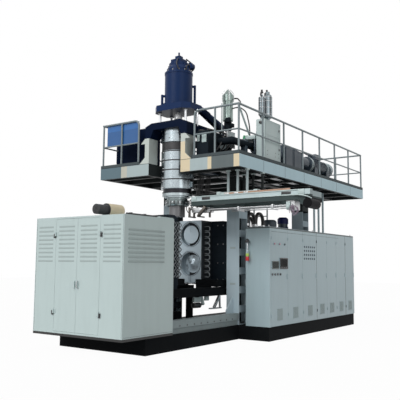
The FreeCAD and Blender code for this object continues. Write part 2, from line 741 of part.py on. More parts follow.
def platform():
    front, end, half = D.platform_front, D.platform_end, D.platform_half
    notch_wall = D.notch_half + D.edge_beam
    holes = []
    beam = D.takeout_start + D.takeout_beam / 2 - D.cross_beam / 2
    for arm in ((front + D.edge_beam, beam), (beam + D.cross_beam, D.notch_end)):
        holes.append(rectangle(arm, (notch_wall, half - D.edge_beam)))
        holes.append(rectangle(arm, (D.edge_beam - half, -notch_wall)))
    start = D.notch_end + D.edge_beam
    pitch = (end - D.edge_beam - start + D.cross_beam) / DECK_BAYS
    middle = D.rail_outer - D.column_width / 2
    strips = [
        (-half + D.edge_beam, -middle - D.edge_beam),
        (-middle + D.edge_beam, middle - D.edge_beam),
        (middle + D.edge_beam, half - D.edge_beam),
    ]
    for bay in range(DECK_BAYS):
        low = start + pitch * bay
        for strip in strips:
            holes.append(rectangle((low, low + pitch - D.cross_beam), strip))
    body = Body("platform")
    body.pad(body.sketch("XY", [platform_outline()] + holes), D.platform_depth)
    body.done("platform_frame", (0, 0, D.deck_level - D.platform_depth))
    deck = Body("deck")
    deck.pad(deck.sketch("XY", [platform_outline()]), D.deck_wall)
    low = D.deck_level + D.deck_wall
    rise = (low, low + D.toe_height)
    inner = half - D.toe_wall
    clear = D.toe_start
    boards = [
        place(deck.body, 0, 0, D.deck_level),
        block((front, end), (-half, -inner), rise),
        block((front, end), (inner, half), rise),
        block((front, front + D.toe_wall), (-inner, -clear), rise),
        block((front, front + D.toe_wall), (clear, inner), rise),
        block((end - D.toe_wall, end), (-inner, D.gate_start), rise),
    ]
    node(fuse(boards), "deck_plate")


# ---------------------------------------------------------------- railings, sign and ladder
def bent_post(x, y_end, y_corner, low, top):
    """A post whose upper end is bent over into the top rail."""
    side = 1 if y_corner.value > y_end.value else -1
    post = rod(D.tube_radius, top - D.bend_radius - low, (x, y_end, low))
    bend = DOC.addObject("Part::Torus", "bend")
    bind(bend, "Radius1", D.bend_radius)
    bind(bend, "Radius2", D.tube_radius)
    bend.Angle3 = 90
    bend.Placement = FreeCAD.Placement(Vector(), bend_turn(side))
    place(bend, x, y_end + D.bend_radius * side, top - D.bend_radius)
    return [post, bend]


def bend_turn(side):
    """Turns a quarter torus from the XY plane into the plane of the front railing."""
    x_to = Vector(0, 0, 1)
    y_to = Vector(0, -side, 0)
    z_to = x_to.cross(y_to)
    return FreeCAD.Rotation(x_to, y_to, z_to, "XYZ")


def railings():
    low = D.deck_level + D.deck_wall
    top = low + D.railing_height - D.tube_radius
    mid = low + D.mid_height
    start = D.platform_front + D.rail_inset
    end = D.platform_end - D.rail_inset
    line = D.platform_half - D.rail_inset
    pitch = (end - start) / RAIL_BAYS
    railing = []
    for side in (-1, 1):
        pieces = [rod(D.post_radius, top - low, (start + pitch * i, line * side, low)) for i in range(RAIL_BAYS + 1)]
        pieces.append(rod(D.tube_radius, end - start + D.tube_radius * 2, (start - D.tube_radius, line * side, top), "X"))
        pieces.append(rod(D.mid_radius, end - start, (start, line * side, low + D.mid_height), "X"))
        railing.append(fuse(pieces))
    reach = line - D.tube_radius
    for side in (-1, 1):
        inner = D.end_post + D.bend_radius
        pieces = bent_post(start, D.end_post * side, reach * side, low, top)
        pieces.append(rod(D.post_radius, top - low, (start, D.side_post * side, low)))
        first = inner if side > 0 else -reach
        first_mid = D.end_post if side > 0 else -reach
        pieces.append(rod(D.tube_radius, reach - inner, (start, first, top), "Y"))
        pieces.append(rod(D.mid_radius, reach - D.end_post, (start, first_mid, mid), "Y"))
        railing.append(fuse(pieces))
    gate = D.gate_start
    pieces = [rod(D.post_radius, top - low, (end, gate, low))]
    for i in range(1, 4):
        pieces.append(rod(D.post_radius, top - low, (end, -line + (gate + line) * i / 4, low)))
    pieces.append(rod(D.tube_radius, gate + reach + D.tube_radius, (end, -reach, top), "Y"))
    pieces.append(rod(D.mid_radius, gate + reach, (end, -reach, mid), "Y"))
    railing.append(fuse(pieces))
    node(group(railing), "platform_railing")
    back = start + D.tube_radius
    sign = block(
        (back, back + D.sign_wall), (D.sign_start, D.sign_start + D.sign_width),
        (low + D.sign_rise, low + D.sign_rise + D.sign_height),
    )
    node(sign, "sign_plate")


def ladder():
    face = D.platform_end
    top = D.deck_level + D.railing_height
    inner, outer = D.ladder_side, D.ladder_side + D.ladder_width
    pieces = [
        block((face, face + D.stile_depth), (inner - D.stile_wall, inner), (0, top)),
        block((face, face + D.stile_depth), (outer, outer + D.stile_wall), (0, top)),
    ]
    for i in range(1, RUNGS):
        at = (face + D.stile_depth / 2, inner, D.rung_pitch * i)
        pieces.append(rod(D.rung_radius, D.ladder_width, at, "Y"))
    node(fuse(pieces), "access_ladder")


# ---------------------------------------------------------------- head, yoke and tower
def upstands():
    """Two upstands on the notch's arms carry the yoke."""
    low = D.deck_level + D.deck_wall
    inner, outer = D.notch_half, D.notch_half + D.upstand_width
    rise = D.upbridge_top - low
    foot = rise / 4
    pieces = []
    for side in (-1, 1):
        front = [
            (inner, 0), (outer + D.upstand_width * 4 / 3, 0), (outer, foot), (outer, rise - D.upstand_width),
            (outer + D.upstand_width, rise - D.upstand_width), (outer, rise), (inner, rise),
        ]
        body = Body("upstand")
        body.pad(body.sketch("YZ", [[(u * side, v) for u, v in front]]), D.upstand_plate)
        stem = [(u * side, v) for u, v in rectangle((inner, outer), (0, rise))]
        body.pad(body.sketch("YZ", [stem]), D.upstand_depth)
        pieces.append(place(body.body, D.platform_front, 0, low))
        y = (inner, outer) if side > 0 else mirrored(inner, outer)
        pieces.append(block((D.yoke_front - D.rear_upstand, D.yoke_front), y, (low, D.upbridge_top)))
    node(group(pieces), "head_upstands")


def yoke():
    """The yoke is an arched bridge of two beams, joined by a middle web round the rod's bore."""
    low = D.upbridge_top
    end, flat, leg = D.yoke_end, D.yoke_flat, D.yoke_leg
    arch = [
        (-end, low), (-leg - D.upstand_width * 2 / 3, low), (-leg, D.yoke_arch), (leg, D.yoke_arch),
        (leg + D.upstand_width * 2 / 3, low), (end, low), (end, D.yoke_shoulder), (flat, D.yoke_top),
        (-flat, D.yoke_top), (-end, D.yoke_shoulder),
    ]
    body = Body("yoke")
    body.pad(body.sketch("YZ", [arch]), D.yoke_beam, start=-D.yoke_front)
    body.pad(body.sketch("YZ", [arch]), D.yoke_beam, start=D.yoke_front - D.yoke_beam)
    web = rectangle((-D.yoke_front + D.yoke_beam, D.yoke_front - D.yoke_beam), (-D.yoke_web, D.yoke_web))
    body.pad(body.sketch("XY", [web]), D.yoke_top - D.yoke_arch, start=D.yoke_arch)
    bore = body.sketch("XY", circles=[(0, 0, D.rod_radius + D.rod_clear)])
    body.pocket(bore, D.yoke_top - D.yoke_arch, start=D.yoke_top)
    body.done("head_yoke")


def tower():
    rods = [
        rod(D.tie_radius, D.plate_low - D.yoke_top, (D.tie_x * i, D.tie_y * j, D.yoke_top))
        for i in (-1, 1) for j in (-1, 1)
    ]
    x, y, c = D.plate_x, D.plate_y, D.plate_cut
    corners = [
        (-x, -y + c), (-x + c, -y), (x - c, -y), (x, -y + c), (x, y - c), (x - c, y), (-x + c, y), (-x, y - c),
    ]
    body = Body("plate")
    drawing = body.sketch("XY", [corners], [(0, 0, D.rod_radius + D.rod_clear)])
    body.pad(drawing, D.plate_wall)
    plate = place(body.body, 0, 0, D.plate_low)
    foot = D.plate_low + D.plate_wall
    stay = Body("stay")
    reach, drop, end = x - c / 2, D.stay_drop, D.stay_end
    leg = end - D.stay_width
    stay.pad(
        stay.sketch("XZ", [[
            (reach, foot), (reach, foot - D.stay_depth), (leg, foot - D.stay_depth - drop),
            (leg, D.deck_level + D.deck_wall), (end, D.deck_level + D.deck_wall), (end, foot - drop),
        ]]),
        D.stay_width, both=True,
    )
    node(fuse([plate, place(stay.body, 0, D.stay_y, 0)] + rods), "tower_frame")
    body = Body("cylinder")
    body.revolve([
        (D.rod_radius + D.rod_clear, 0), (D.tower_foot, 0), (D.tower_foot, D.foot_wall),
        (D.tower_radius, D.foot_wall), (D.tower_radius, D.tower_height),
        (0, D.tower_height), (0, D.tower_height / 2), (D.rod_radius + D.rod_clear, D.tower_height / 2),
    ])
    node(fuse([place(body.body, 0, 0, foot)] + oil_pipes(foot)), "injection_cylinder")
    tower_cap(foot + D.tower_height)


def tower_cap(low):
    """The cap carries the valve block, the side valve and the stroke sensor."""
    body = Body("cap")
    step = D.cap_height + D.dome_height
    block_top = step + D.block_height
    sensor_top = block_top + D.sensor_height
    half, quarter = D.block_side / 2, D.sensor_side / 2
    body.revolve([
        (0, 0), (D.cap_radius, 0), (D.cap_radius, D.cap_height / 2), (D.dome_radius, D.cap_height),
        (D.dome_radius, step), (0, step),
    ])
    body.pad(body.sketch("XY", [rectangle((-half, half), (-half, half))]), D.block_height, start=step)
    body.pad(
        body.sketch("XY", [rectangle((-quarter, quarter), (-quarter, quarter))]), D.sensor_height, start=block_top
    )
    body.pad(body.sketch("XY", circles=[(0, 0, D.sensor_tip)]), D.sensor_tip_height, start=sensor_top)
    side, rise = -D.tower_radius + D.valve_radius, D.cap_height / 2 + D.valve_radius
    valve = body.sketch("YZ", circles=[(side, rise, D.valve_radius)])
    body.pad(valve, D.valve_length, start=D.valve_radius)
    spacing = math.pi / CAP_BOLTS
    ring = (D.cap_radius + D.dome_radius) / 2
    bolts = [
        rod(
            D.cap_bolt / 2, D.cap_height / 2 + D.cap_bolt_height,
            (
                ring * math.cos(spacing * (2 * i + 1)), ring * math.sin(spacing * (2 * i + 1)),
                low + D.cap_height / 2,
            ),
        )
        for i in range(CAP_BOLTS)
    ]
    node(fuse([place(body.body, 0, 0, low)] + bolts), "cylinder_cap")


def oil_pipes(foot):
    """Two pipes rise from the foot flange and turn into the cylinder's wall."""
    pipes = []
    reach = D.pipe_standoff
    diagonal = math.sqrt(0.5)
    for side, height in ((1, D.tower_height / 3), (-1, D.tower_height * 2 / 3)):
        at = (-reach * diagonal * side, reach * diagonal * side, foot)
        pipe = rod(D.pipe_radius, height, at)
        port = rod(D.pipe_radius, D.pipe_standoff, (at[0], at[1], foot + height - D.pipe_radius), "X")
        port.Placement = FreeCAD.Placement(
            Vector(), FreeCAD.Rotation(Vector(0, 0, 1), Vector(side, -side, 0))
        )
        place(port, at[0], at[1], foot + height - D.pipe_radius)
        bore = rod(D.tower_radius, D.tower_height, (0, 0, foot))
        pipes.append(cut(fuse([pipe, port]), [bore]))
    return pipes


def mandrel():
    """The rod that sets the die gap runs from the coupling above the yoke down to the mandrel."""
    body = Body("mandrel")
    top = D.plate_low + D.plate_wall + D.tower_height / 4
    lip = D.die_low + D.die_lip * 2 / 3
    body.revolve([
        (0, D.die_low), (D.mandrel_radius, D.die_low), (D.rod_radius, lip), (D.rod_radius, D.coupling_low),
        (D.coupling_radius, D.coupling_low), (D.coupling_radius, D.coupling_low + D.coupling_height),
        (D.rod_radius, D.coupling_low + D.coupling_height), (D.rod_radius, top), (0, top),
    ])
    body.done("mandrel_rod")


def head():
    """The barrel, its heater bands and the die, one below the other."""
    snug = D.rod_radius + D.rod_clear
    top = D.yoke_arch
    body = Body("barrel")
    body.revolve([
        (D.barrel_bore, D.barrel_low), (D.barrel_radius - D.pipe_radius, D.barrel_low),
        (D.barrel_radius - D.pipe_radius, D.lower_flange_low), (D.lower_flange, D.lower_flange_low),
        (D.lower_flange, D.lower_flange_top), (D.seat_radius, D.lower_flange_top), (D.seat_radius, D.seat_top),
        (D.barrel_radius, D.seat_top), (D.barrel_radius, D.head_flange_low), (D.head_flange, D.head_flange_low),
        (D.head_flange, top), (snug, top), (snug, D.head_flange_low), (D.barrel_bore, D.head_flange_low),
    ])
    body.done("accumulator_barrel")
    bands = []
    inner = D.barrel_radius + D.band_clear
    for i in range(BANDS):
        low = D.seat_top + D.band_clear + D.band_pitch * i
        foot = low + (D.band_height - D.terminal_height) / 2
        box = block(
            (0, D.terminal_width), (-D.band_radius - D.terminal_reach, -D.barrel_radius),
            (foot, foot + D.terminal_height),
        )
        ring = fuse([rod(D.band_radius, D.band_height, (0, 0, low)), box])
        bands.append(cut(ring, [rod(inner, D.band_height, (0, 0, low))]))
    node(group(bands), "heater_bands")
    body = Body("holder")
    low = D.die_holder_low
    body.revolve([
        (D.barrel_bore, low), (D.die_holder, low), (D.die_holder, D.barrel_low), (D.barrel_bore, D.barrel_low),
    ])
    spacing = 2 * math.pi / HOLDER_BOLTS
    bolts = [
        rod(
            D.cap_bolt / 2, D.cap_bolt_height / 2,
            (
                (D.die_holder - D.cap_bolt) * math.cos(spacing * i),
                (D.die_holder - D.cap_bolt) * math.sin(spacing * i), low - D.cap_bolt_height / 2,
            ),
        )
        for i in range(HOLDER_BOLTS)
    ]
    node(fuse([body.body] + bolts), "die_holder")
    body = Body("die")
    body.revolve([
        (D.die_mouth, D.die_low), (D.die_neck, D.die_low), (D.die_neck, low), (D.die_throat, low),
        (D.die_throat, D.die_low + D.die_lip),
    ])
    body.done("die_ring")


# ---------------------------------------------------------------- extruder and feed
def extruder():
    y, z = D.extruder_y, D.extruder_z
    low = D.deck_level + D.deck_wall
    elbow_x = D.hopper_radius
    pipe = fuse([
        rod(D.melt_radius, D.guard_start - elbow_x, (elbow_x, y, z), "X"),
        rod(D.melt_radius, -y, (elbow_x, y, z), "Y"),
        ball(D.melt_radius, (elbow_x, y, z)),
    ])
    barrel = rod(D.barrel_radius, D.head_flange_low - D.seat_top, (0, 0, D.seat_top))
    flange = rod(D.head_flange, D.yoke_arch - D.head_flange_low, (0, 0, D.head_flange_low))
    node(cut(pipe, [barrel, flange]), "melt_pipe")
    saddle = D.guard_radius
    foot_1 = D.guard_start + saddle
    foot_2 = D.guard_end - saddle * 2
    pieces = [rod(D.guard_radius, D.guard_end - D.guard_start, (D.guard_start, y, z), "X")]
    for foot in (foot_1, foot_2):
        pieces.append(block((foot, foot + saddle), (y - saddle * 2 / 3, y + saddle * 2 / 3), (low, z)))
    node(fuse(pieces), "extruder_barrel")
    half = D.gearbox_half
    body = Body("gearbox")
    side = [
        (0, 0), (D.gearbox_end - D.guard_end, 0), (D.gearbox_end - D.guard_end, z - low + half),
        (half * 2, D.gearbox_top - low), (0, D.gearbox_top - low),
    ]
    body.pad(body.sketch("XZ", [side]), half * 2, both=True)
    bell = body.sketch("YZ", circles=[(0, z - low, D.bell_radius)])
    body.pad(bell, D.bell_end - D.gearbox_end, start=D.gearbox_end - D.guard_end)
    body.done("gearbox", (D.guard_end, y, low))
    body = Body("motor")
    length = D.motor_end - D.motor_start
    wall = D.motor_flange - D.motor_radius
    body.revolve([
        (0, 0), (D.motor_flange, 0), (D.motor_flange, wall * 3), (D.motor_radius, wall * 3),
        (D.motor_radius, length - wall * 3), (D.motor_flange, length - wall * 3), (D.motor_flange, length),
        (0, length),
    ])
    body.body.Placement = FreeCAD.Placement(Vector(), TURNS["X"])
    motor = place(body.body, D.motor_start, y, z)
    feet = []
    for at in (D.motor_start + D.motor_flange, D.motor_end - D.motor_flange * 2):
        feet.append(block((at, at + D.motor_flange), (y - D.motor_radius, y + D.motor_radius), (low, z)))
    node(fuse([motor] + feet), "extruder_motor")
    reach = D.motor_start - D.bell_end - D.rod_clear
    shaft = rod(D.shaft_radius, reach, (D.bell_end + D.rod_clear / 2, y, z), "X")
    node(shaft, "drive_coupling")


def ball(radius, at):
    thing = DOC.addObject("Part::Sphere", "ball")
    bind(thing, "Radius", radius)
    return place(thing, *at)


def feeder():
    """The feeder cabinet stands beside the screw barrel, feeds it through a duct and carries two loaders."""
    middle = (D.feeder_near + D.feeder_far) / 2
    low = D.deck_level + D.deck_wall
    cabinet = block((D.feeder_start, D.feeder_end), (D.feeder_near, D.feeder_far), (low, D.feeder_top))
    half = D.melt_radius
    chute_x = D.feeder_end - half * 2
    duct = block(
        (chute_x - half, chute_x + half), (D.feeder_far, D.extruder_y + half),
        (D.feeder_low, D.feeder_low + half * 2),
    )
    chute = rod(half, D.feeder_low - D.extruder_z, (chute_x, D.extruder_y, D.extruder_z))
    barrel = rod(D.guard_radius, D.guard_end - D.guard_start, (D.guard_start, D.extruder_y, D.extruder_z), "X")
    node(fuse([cabinet, duct, cut(chute, [barrel])]), "material_feeder")
    loaders = []
    for x, radius, height in (
        (D.loader_x, D.loader_radius, D.loader_height),
        (D.small_loader_x, D.small_loader_radius, D.small_loader_height),
    ):
        body = Body("loader")
        neck = radius / 2
        body.revolve([
            (0, 0), (neck, 0), (neck, neck), (radius, radius + neck), (radius, height), (neck, height + neck),
            (neck, height + radius), (0, height + radius),
        ])
        loaders.append(place(body.body, x, middle, D.feeder_top))
    node(group(loaders), "vacuum_loaders")


def front_hopper():
    """The front hopper stands on a post of its own."""
    low = D.deck_level + D.deck_wall
    x, y, half = D.hopper_x, D.hopper_y, D.hopper_post / 2
    top = D.hopper_top
    body = Body("hopper")
    drop = D.hopper_radius
    body.revolve([
        (0, D.hopper_low - drop), (half / 2, D.hopper_low - drop), (D.hopper_radius, D.hopper_low),
        (D.hopper_radius, top - D.hopper_lip), (D.hopper_rim, top - D.hopper_lip), (D.hopper_rim, top),
        (half / 2, top + D.hopper_crown), (0, top + D.hopper_crown),
    ])
    post = block((x - half, x + half), (y - half, y + half), (low, D.hopper_low - drop))
    node(fuse([place(body.body, x, y, 0), post]), "front_hopper")


def accumulator_cabinet():
    low = D.deck_level + D.deck_wall
    inner, outer, c, top = D.oil_box_inner, D.oil_box_outer, D.oil_box_cut, D.oil_box_top
    corners = [
        (inner + c, low), (outer - c, low), (outer, low + c), (outer, top - c / 2), (outer - c / 2, top),
        (inner + c / 2, top), (inner, top - c / 2), (inner, low + c),
    ]
    body = Body("oil_box")
    body.pad(body.sketch("YZ", [corners]), D.oil_box_depth, start=D.oil_box_start)
    body.done("accumulator_cabinet")


# ---------------------------------------------------------------- clamp housing
def housing():
    """A sheet housing on a sill frame, with louvred panels and an open end towards the clamp."""
    x0, x1, half = D.housing_start, D.housing_end, D.housing_half
    low, top, wall, frame = D.housing_low, D.housing_top, D.housing_wall, D.door_frame
    outer = block((x0, x1), (-half, half), (low, top))
    inner = block((x0 + wall, x1), (wall - half, half - wall), (low, top - wall))
    doorway = block((x0, x0 + wall), (-D.door_half, D.door_half), (low + frame, top - frame))
    slots = []
    for y in ((-half, wall - half), (half - wall, half)):
        for row in range(SIDE_LOUVRES):
            z = D.louvre_low + D.louvre_pitch * row
            slots.append(block((x0 + D.sill_width, x1 - D.sill_width * 5 / 2), y, (z, z + D.louvre_height)))
    margin = (D.door_half + D.louvre_margin, half - D.louvre_margin)
    for y in (margin, mirrored(*margin)):
        for row in range(LOUVRES):
            z = D.louvre_low + D.louvre_pitch * row
            slots.append(block((x0, x0 + wall), y, (z, z + D.louvre_height)))
    sill = Body("sill")
    inside = D.rail_outer + D.slide_clear
    outline = [
        (x0, -half), (x1, -half), (x1, -inside), (x0 + D.sill_width, -inside), (x0 + D.sill_width, inside),
        (x1, inside), (x1, half), (x0, half),
    ]
    sill.pad(sill.sketch("XY", [outline]), low - D.skid_height)
    shell = cut(outer, [inner, doorway] + slots)
    node(fuse([shell, place(sill.body, 0, 0, D.skid_height)]), "clamp_housing")
    housing_doors()
    fan_body = D.fan_length * 3 / 5
    fan = fuse([
        rod(D.fan_radius, fan_body, (D.fan_x - fan_body, D.fan_y, top + D.fan_rise), "X"),
        rod(D.fan_radius * 3 / 4, D.fan_length - fan_body, (D.fan_x - D.fan_length, D.fan_y, top + D.fan_rise), "X"),
        block(
            (D.fan_x - fan_body, D.fan_x - D.fan_radius / 2),
            (D.fan_y - D.fan_radius / 2, D.fan_y + D.fan_radius / 2), (top, top + D.fan_rise),
        ),
    ])
    node(fan, "housing_motor")


def housing_doors():
    """Two leaves, hinged at the fixed panels and meeting in the middle."""
    frame, gap, wall = D.door_frame, D.door_gap, D.housing_wall
    low = D.housing_low + frame + gap
    high = D.housing_top - frame - gap
    inner, outer = gap / 2, D.door_half - gap
    for label, side in (("housing_door_near", -1), ("housing_door_far", 1)):
        def span(a, b):
            return (a, b) if side > 0 else mirrored(a, b)

        body = Body("leaf")
        body.pad(body.sketch("YZ", [rectangle(span(inner, outer), (low, high))]), wall)
        slot_span = span(inner + D.louvre_margin, outer - D.louvre_margin)
        slot = rectangle(slot_span, (D.louvre_low, D.louvre_low + D.louvre_height))
        row = body.pocket(body.sketch("YZ", [slot]), wall, start=wall)
        body.lines(row, "Z", D.louvre_pitch * (LOUVRES - 1), LOUVRES)
        straps = [
            rectangle(span(outer - D.strap_width, outer), (z, z + D.hinge_height))
            for z in (D.hinge_low, D.hinge_high)
        ]
        body.pad(body.sketch("YZ", straps), D.strap_wall, start=-D.strap_wall)
        lever = rectangle(
            span(inner + D.lever_width, inner + D.lever_width * 2),
            (D.lever_level - D.lever_height / 2, D.lever_level + D.lever_height / 2),
        )
        body.pad(body.sketch("YZ", [lever]), D.lever_reach, start=-D.lever_reach)
        pivot = (-D.hinge_radius - D.slide_clear, (outer + gap / 2) * side)
        for z in (D.hinge_low, D.hinge_high):
            body.pad(body.sketch("XY", circles=[(pivot[0], pivot[1], D.hinge_radius)]), D.hinge_height, start=z)
        body.done(label, (D.housing_start, 0, 0))


# ---------------------------------------------------------------- clamp unit
def guides():
    """Two guide beams on pedestals carry both platens."""
    front_pitch = (-D.skid_cross / 2 - D.skid_start) / FRONT_BAYS
    rear_pitch = (D.skid_end - D.skid_cross / 2) / REAR_BAYS
    left = D.skid_start + front_pitch
    right = D.skid_cross / 2 + rear_pitch * 2 - D.skid_cross
    post = right + D.guide_post
    low, top, base = D.guide_low, D.guide_top, D.skid_height
    side = [
        (D.guide_start, low), (left - D.skid_cross, low), (left, low - D.skid_cross), (left, base),
        (left + D.skid_cross, base), (left + D.skid_cross, low), (right - D.skid_cross / 2, low),
        (right, low - D.skid_cross / 2), (right, base), (post, base), (post, low),
        (D.guide_end, low), (D.guide_end, top), (D.guide_start, top),
    ]
    width = D.guide_outer - D.guide_inner
    beams = []
    for start in (D.guide_inner, -D.guide_outer):
        body = Body("guide")
        body.pad(body.sketch("XZ", [side]), width, start=start)
        beams.append(body.body)
    node(group(beams), "guide_beams")


def platen(label, side):
    """A platen with cut corners, ribbed on its back, that slides on the guide beams."""
    half, low, top, c = D.platen_half, D.platen_low, D.platen_top, D.platen_cut
    wall = D.platen_wall
    face = D.platen_face if side > 0 else -D.platen_face - wall
    outline = [
        (-half, low), (half, low), (half, top - c), (half - c, top), (c - half, top), (-half, top - c),
    ]
    body = Body("platen")
    body.pad(body.sketch("YZ", [outline]), wall)
    rib = c
    middle = (low + top) / 2
    for y in ((rib - half, -rib * 2), (rib * 2, half - rib)):
        for z in ((low + rib, middle - rib / 2), (middle + rib / 2, top - rib * 2)):
            panel = body.sketch("YZ", [rectangle(y, z)])
            if side > 0:
                body.pocket(panel, wall * 2 / 3, start=wall)
            else:
                body.pocket(panel, wall * 2 / 3, start=0, back=True)
    shoes = []
    for y in ((D.guide_inner, D.guide_outer), (-D.guide_outer, -D.guide_inner)):
        shoes.append(rectangle((0, wall), y))
    body.pad(body.sketch("XY", shoes), low - D.guide_top - D.slide_clear, start=D.guide_top + D.slide_clear)
    if side < 0:
        ram = body.sketch("YZ", circles=[(0, D.ram_level, D.ram_radius)])
        body.pad(ram, D.ram_length - D.piston_length, start=0, back=True)
        piston = body.sketch("YZ", circles=[(0, D.ram_level, D.ram_head)])
        body.pad(piston, D.piston_length, start=-(D.ram_length - D.piston_length), back=True)
    body.done(label, (face, 0, 0))


def clamp_cylinder():
    face, wall = D.clamp_plate_face, D.clamp_plate_wall
    half = D.guide_outer
    plate = block((face - wall, face), (-half, half), (D.guide_top, D.platen_top - D.platen_cut * 2))
    shell = rod(D.clamp_radius, face - D.clamp_end, (D.clamp_end, 0, D.ram_level), "X")
    depth = face - D.clamp_end - D.clamp_radius
    bore = rod(D.ram_bore, depth, (D.clamp_end + D.clamp_radius / 2, 0, D.ram_level), "X")
    mouth = rod(D.ram_radius + D.rod_clear, D.clamp_radius, (face - D.clamp_radius, 0, D.ram_level), "X")
    node(cut(fuse([plate, shell]), [bore, mouth]), "clamp_cylinder")


def mould(label, side):
    """A mould half: a flat disc in the upper cavity and a dome in the lower one."""
    depth = D.platen_face - D.mould_open
    half, low, top = D.mould_half, D.mould_low, D.mould_top
    body = Body("mould")
    body.pad(body.sketch("YZ", [rectangle((-half, half), (low, top))]), depth)
    neck = rectangle((-D.neck_block, D.neck_block), (low - D.neck_block_height, low))
    body.pad(body.sketch("YZ", [neck]), depth * 3 / 5)
    deep, radius, core = D.cavity_depth, D.cavity_radius, D.core_radius
    rise = D.dome_rise
    sphere = (core * core + rise * rise) / (rise * 2)
    rims = {
        D.upper_cavity: [(D.disc_depth, 0), (D.disc_depth, core), (deep, core)],
        D.lower_cavity: [(deep - rise, 0, (sphere, True)), (deep, core)],
    }
    for level, island in rims.items():
        body.hollow([(0, 0)] + island + [(deep, radius), (0, radius)], level)
        body.hollow([
            (0, D.groove_radius - D.groove_width), (D.groove_depth, D.groove_radius - D.groove_width),
            (D.groove_depth, D.groove_radius), (0, D.groove_radius),
        ], level)
    bore = rod(D.neck_radius, D.lower_cavity - low, (0, 0, low - D.neck_block_height))
    sprue = rod(D.neck_radius, D.cavity_radius, (0, 0, top - D.cavity_radius))
    shape = cut(body.body, [bore, sprue])
    turn = FreeCAD.Rotation(Vector(0, 0, 1), 0 if side > 0 else 180)
    shape.Placement = FreeCAD.Placement(Vector(), turn)
    place(shape, D.mould_open * side, 0, 0)
    node(shape, label)


def cooling_hoses(label, side):
    """U-shaped hoses between the water ports on both flanks of a mould half."""
    r, bend, leg = D.hose_radius, D.hose_bend, D.hose_leg
    x = (D.mould_open + D.hose_x) * side
    outlines = []
    loops = []
    for flank in (-1, 1):
        face = D.mould_half * flank
        for i in range(HOSES):
            z = D.hose_first + D.hose_pitch * i
            at = Vector(x.value, face.value + leg.value * flank, z.value)
            ring = Part.makeCylinder(bend.value + r.value, r.value * 2, at, Vector(1, 0, 0))
            hole = Part.makeCylinder(bend.value - r.value, r.value * 2, at, Vector(1, 0, 0))
            reach = bend.value + r.value
            low = at + Vector(0, 0 if flank > 0 else -reach, -reach)
            keep = Part.makeBox(r.value * 2, reach, reach * 2, low)
            legs = []
            for step in (-bend.value, bend.value):
                corner = Vector(x.value, min(face.value, at.y), z.value + step - r.value)
                legs.append(Part.makeBox(r.value * 2, leg.value, r.value * 2, corner))
            loops.append(ring.cut(hole).common(keep).fuse(legs).removeSplitter())
    shape = DOC.addObject("Part::Feature", "hoses")
    shape.Shape = Part.makeCompound(loops)
    node(shape, label)


def blow_unit():
    """The blow pin rises through a bridge between the guide beams; its actuator block stands below it."""
    half, low, top, inner = D.bridge_half, D.bridge_low, D.bridge_top, D.guide_inner
    bridge = block((-half, half), (-inner, inner), (low, top))
    bore = rod(D.pin_radius + D.rod_clear, top - low, (0, 0, low))
    foot = block((-D.foot_half, D.foot_half), (-D.foot_half, D.foot_half), (D.skid_height, D.foot_top))
    node(group([cut(bridge, [bore]), foot]), "blow_stand")
    end = low - D.slide_clear - D.pin_collar
    pin = fuse([
        rod(D.pin_radius, D.pin_top - end, (0, 0, end)),
        rod(D.pin_radius * 3 / 2, D.pin_collar, (0, 0, end)),
    ])
    node(pin, "blow_pin")


# ---------------------------------------------------------------- take-out unit
def takeout():
    x0 = D.takeout_start
    x1 = x0 + D.takeout_width
    w = D.takeout_beam
    z = (D.takeout_low, D.takeout_top)
    y = (D.takeout_outer, D.takeout_inner)
    frame = Body("frame")
    inner_x = (x0 + w, x1 - w)
    length = (D.takeout_inner - D.takeout_outer - w) / 3
    holes = [
        rectangle(inner_x, (D.takeout_outer + w + length * i, D.takeout_outer + length * (i + 1))) for i in range(3)
    ]
    frame.pad(frame.sketch("XY", [rectangle((x0, x1), y)] + holes), z[1] - z[0], start=z[0])
    underside = D.deck_level - D.platform_depth
    pieces = [frame.body]
    for x in (x0 + w / 2, x1 - w / 2):
        for i in range(HANGERS):
            at = -D.hanger_y - D.hanger_pitch * i
            pieces.append(rod(D.hanger_radius, underside - z[1], (x, at, z[1])))
    servo = (x0 - w, D.takeout_outer - D.servo_radius, D.bar_level)
    pieces.append(rod(D.servo_radius, D.servo_length, servo, "X"))
    bracket = (D.takeout_outer - D.servo_radius, D.takeout_outer + w)
    pieces.append(block((x0, x0 + w), bracket, (D.bar_level, z[1])))
    node(fuse(pieces), "takeout_frame")
    gripper(w)


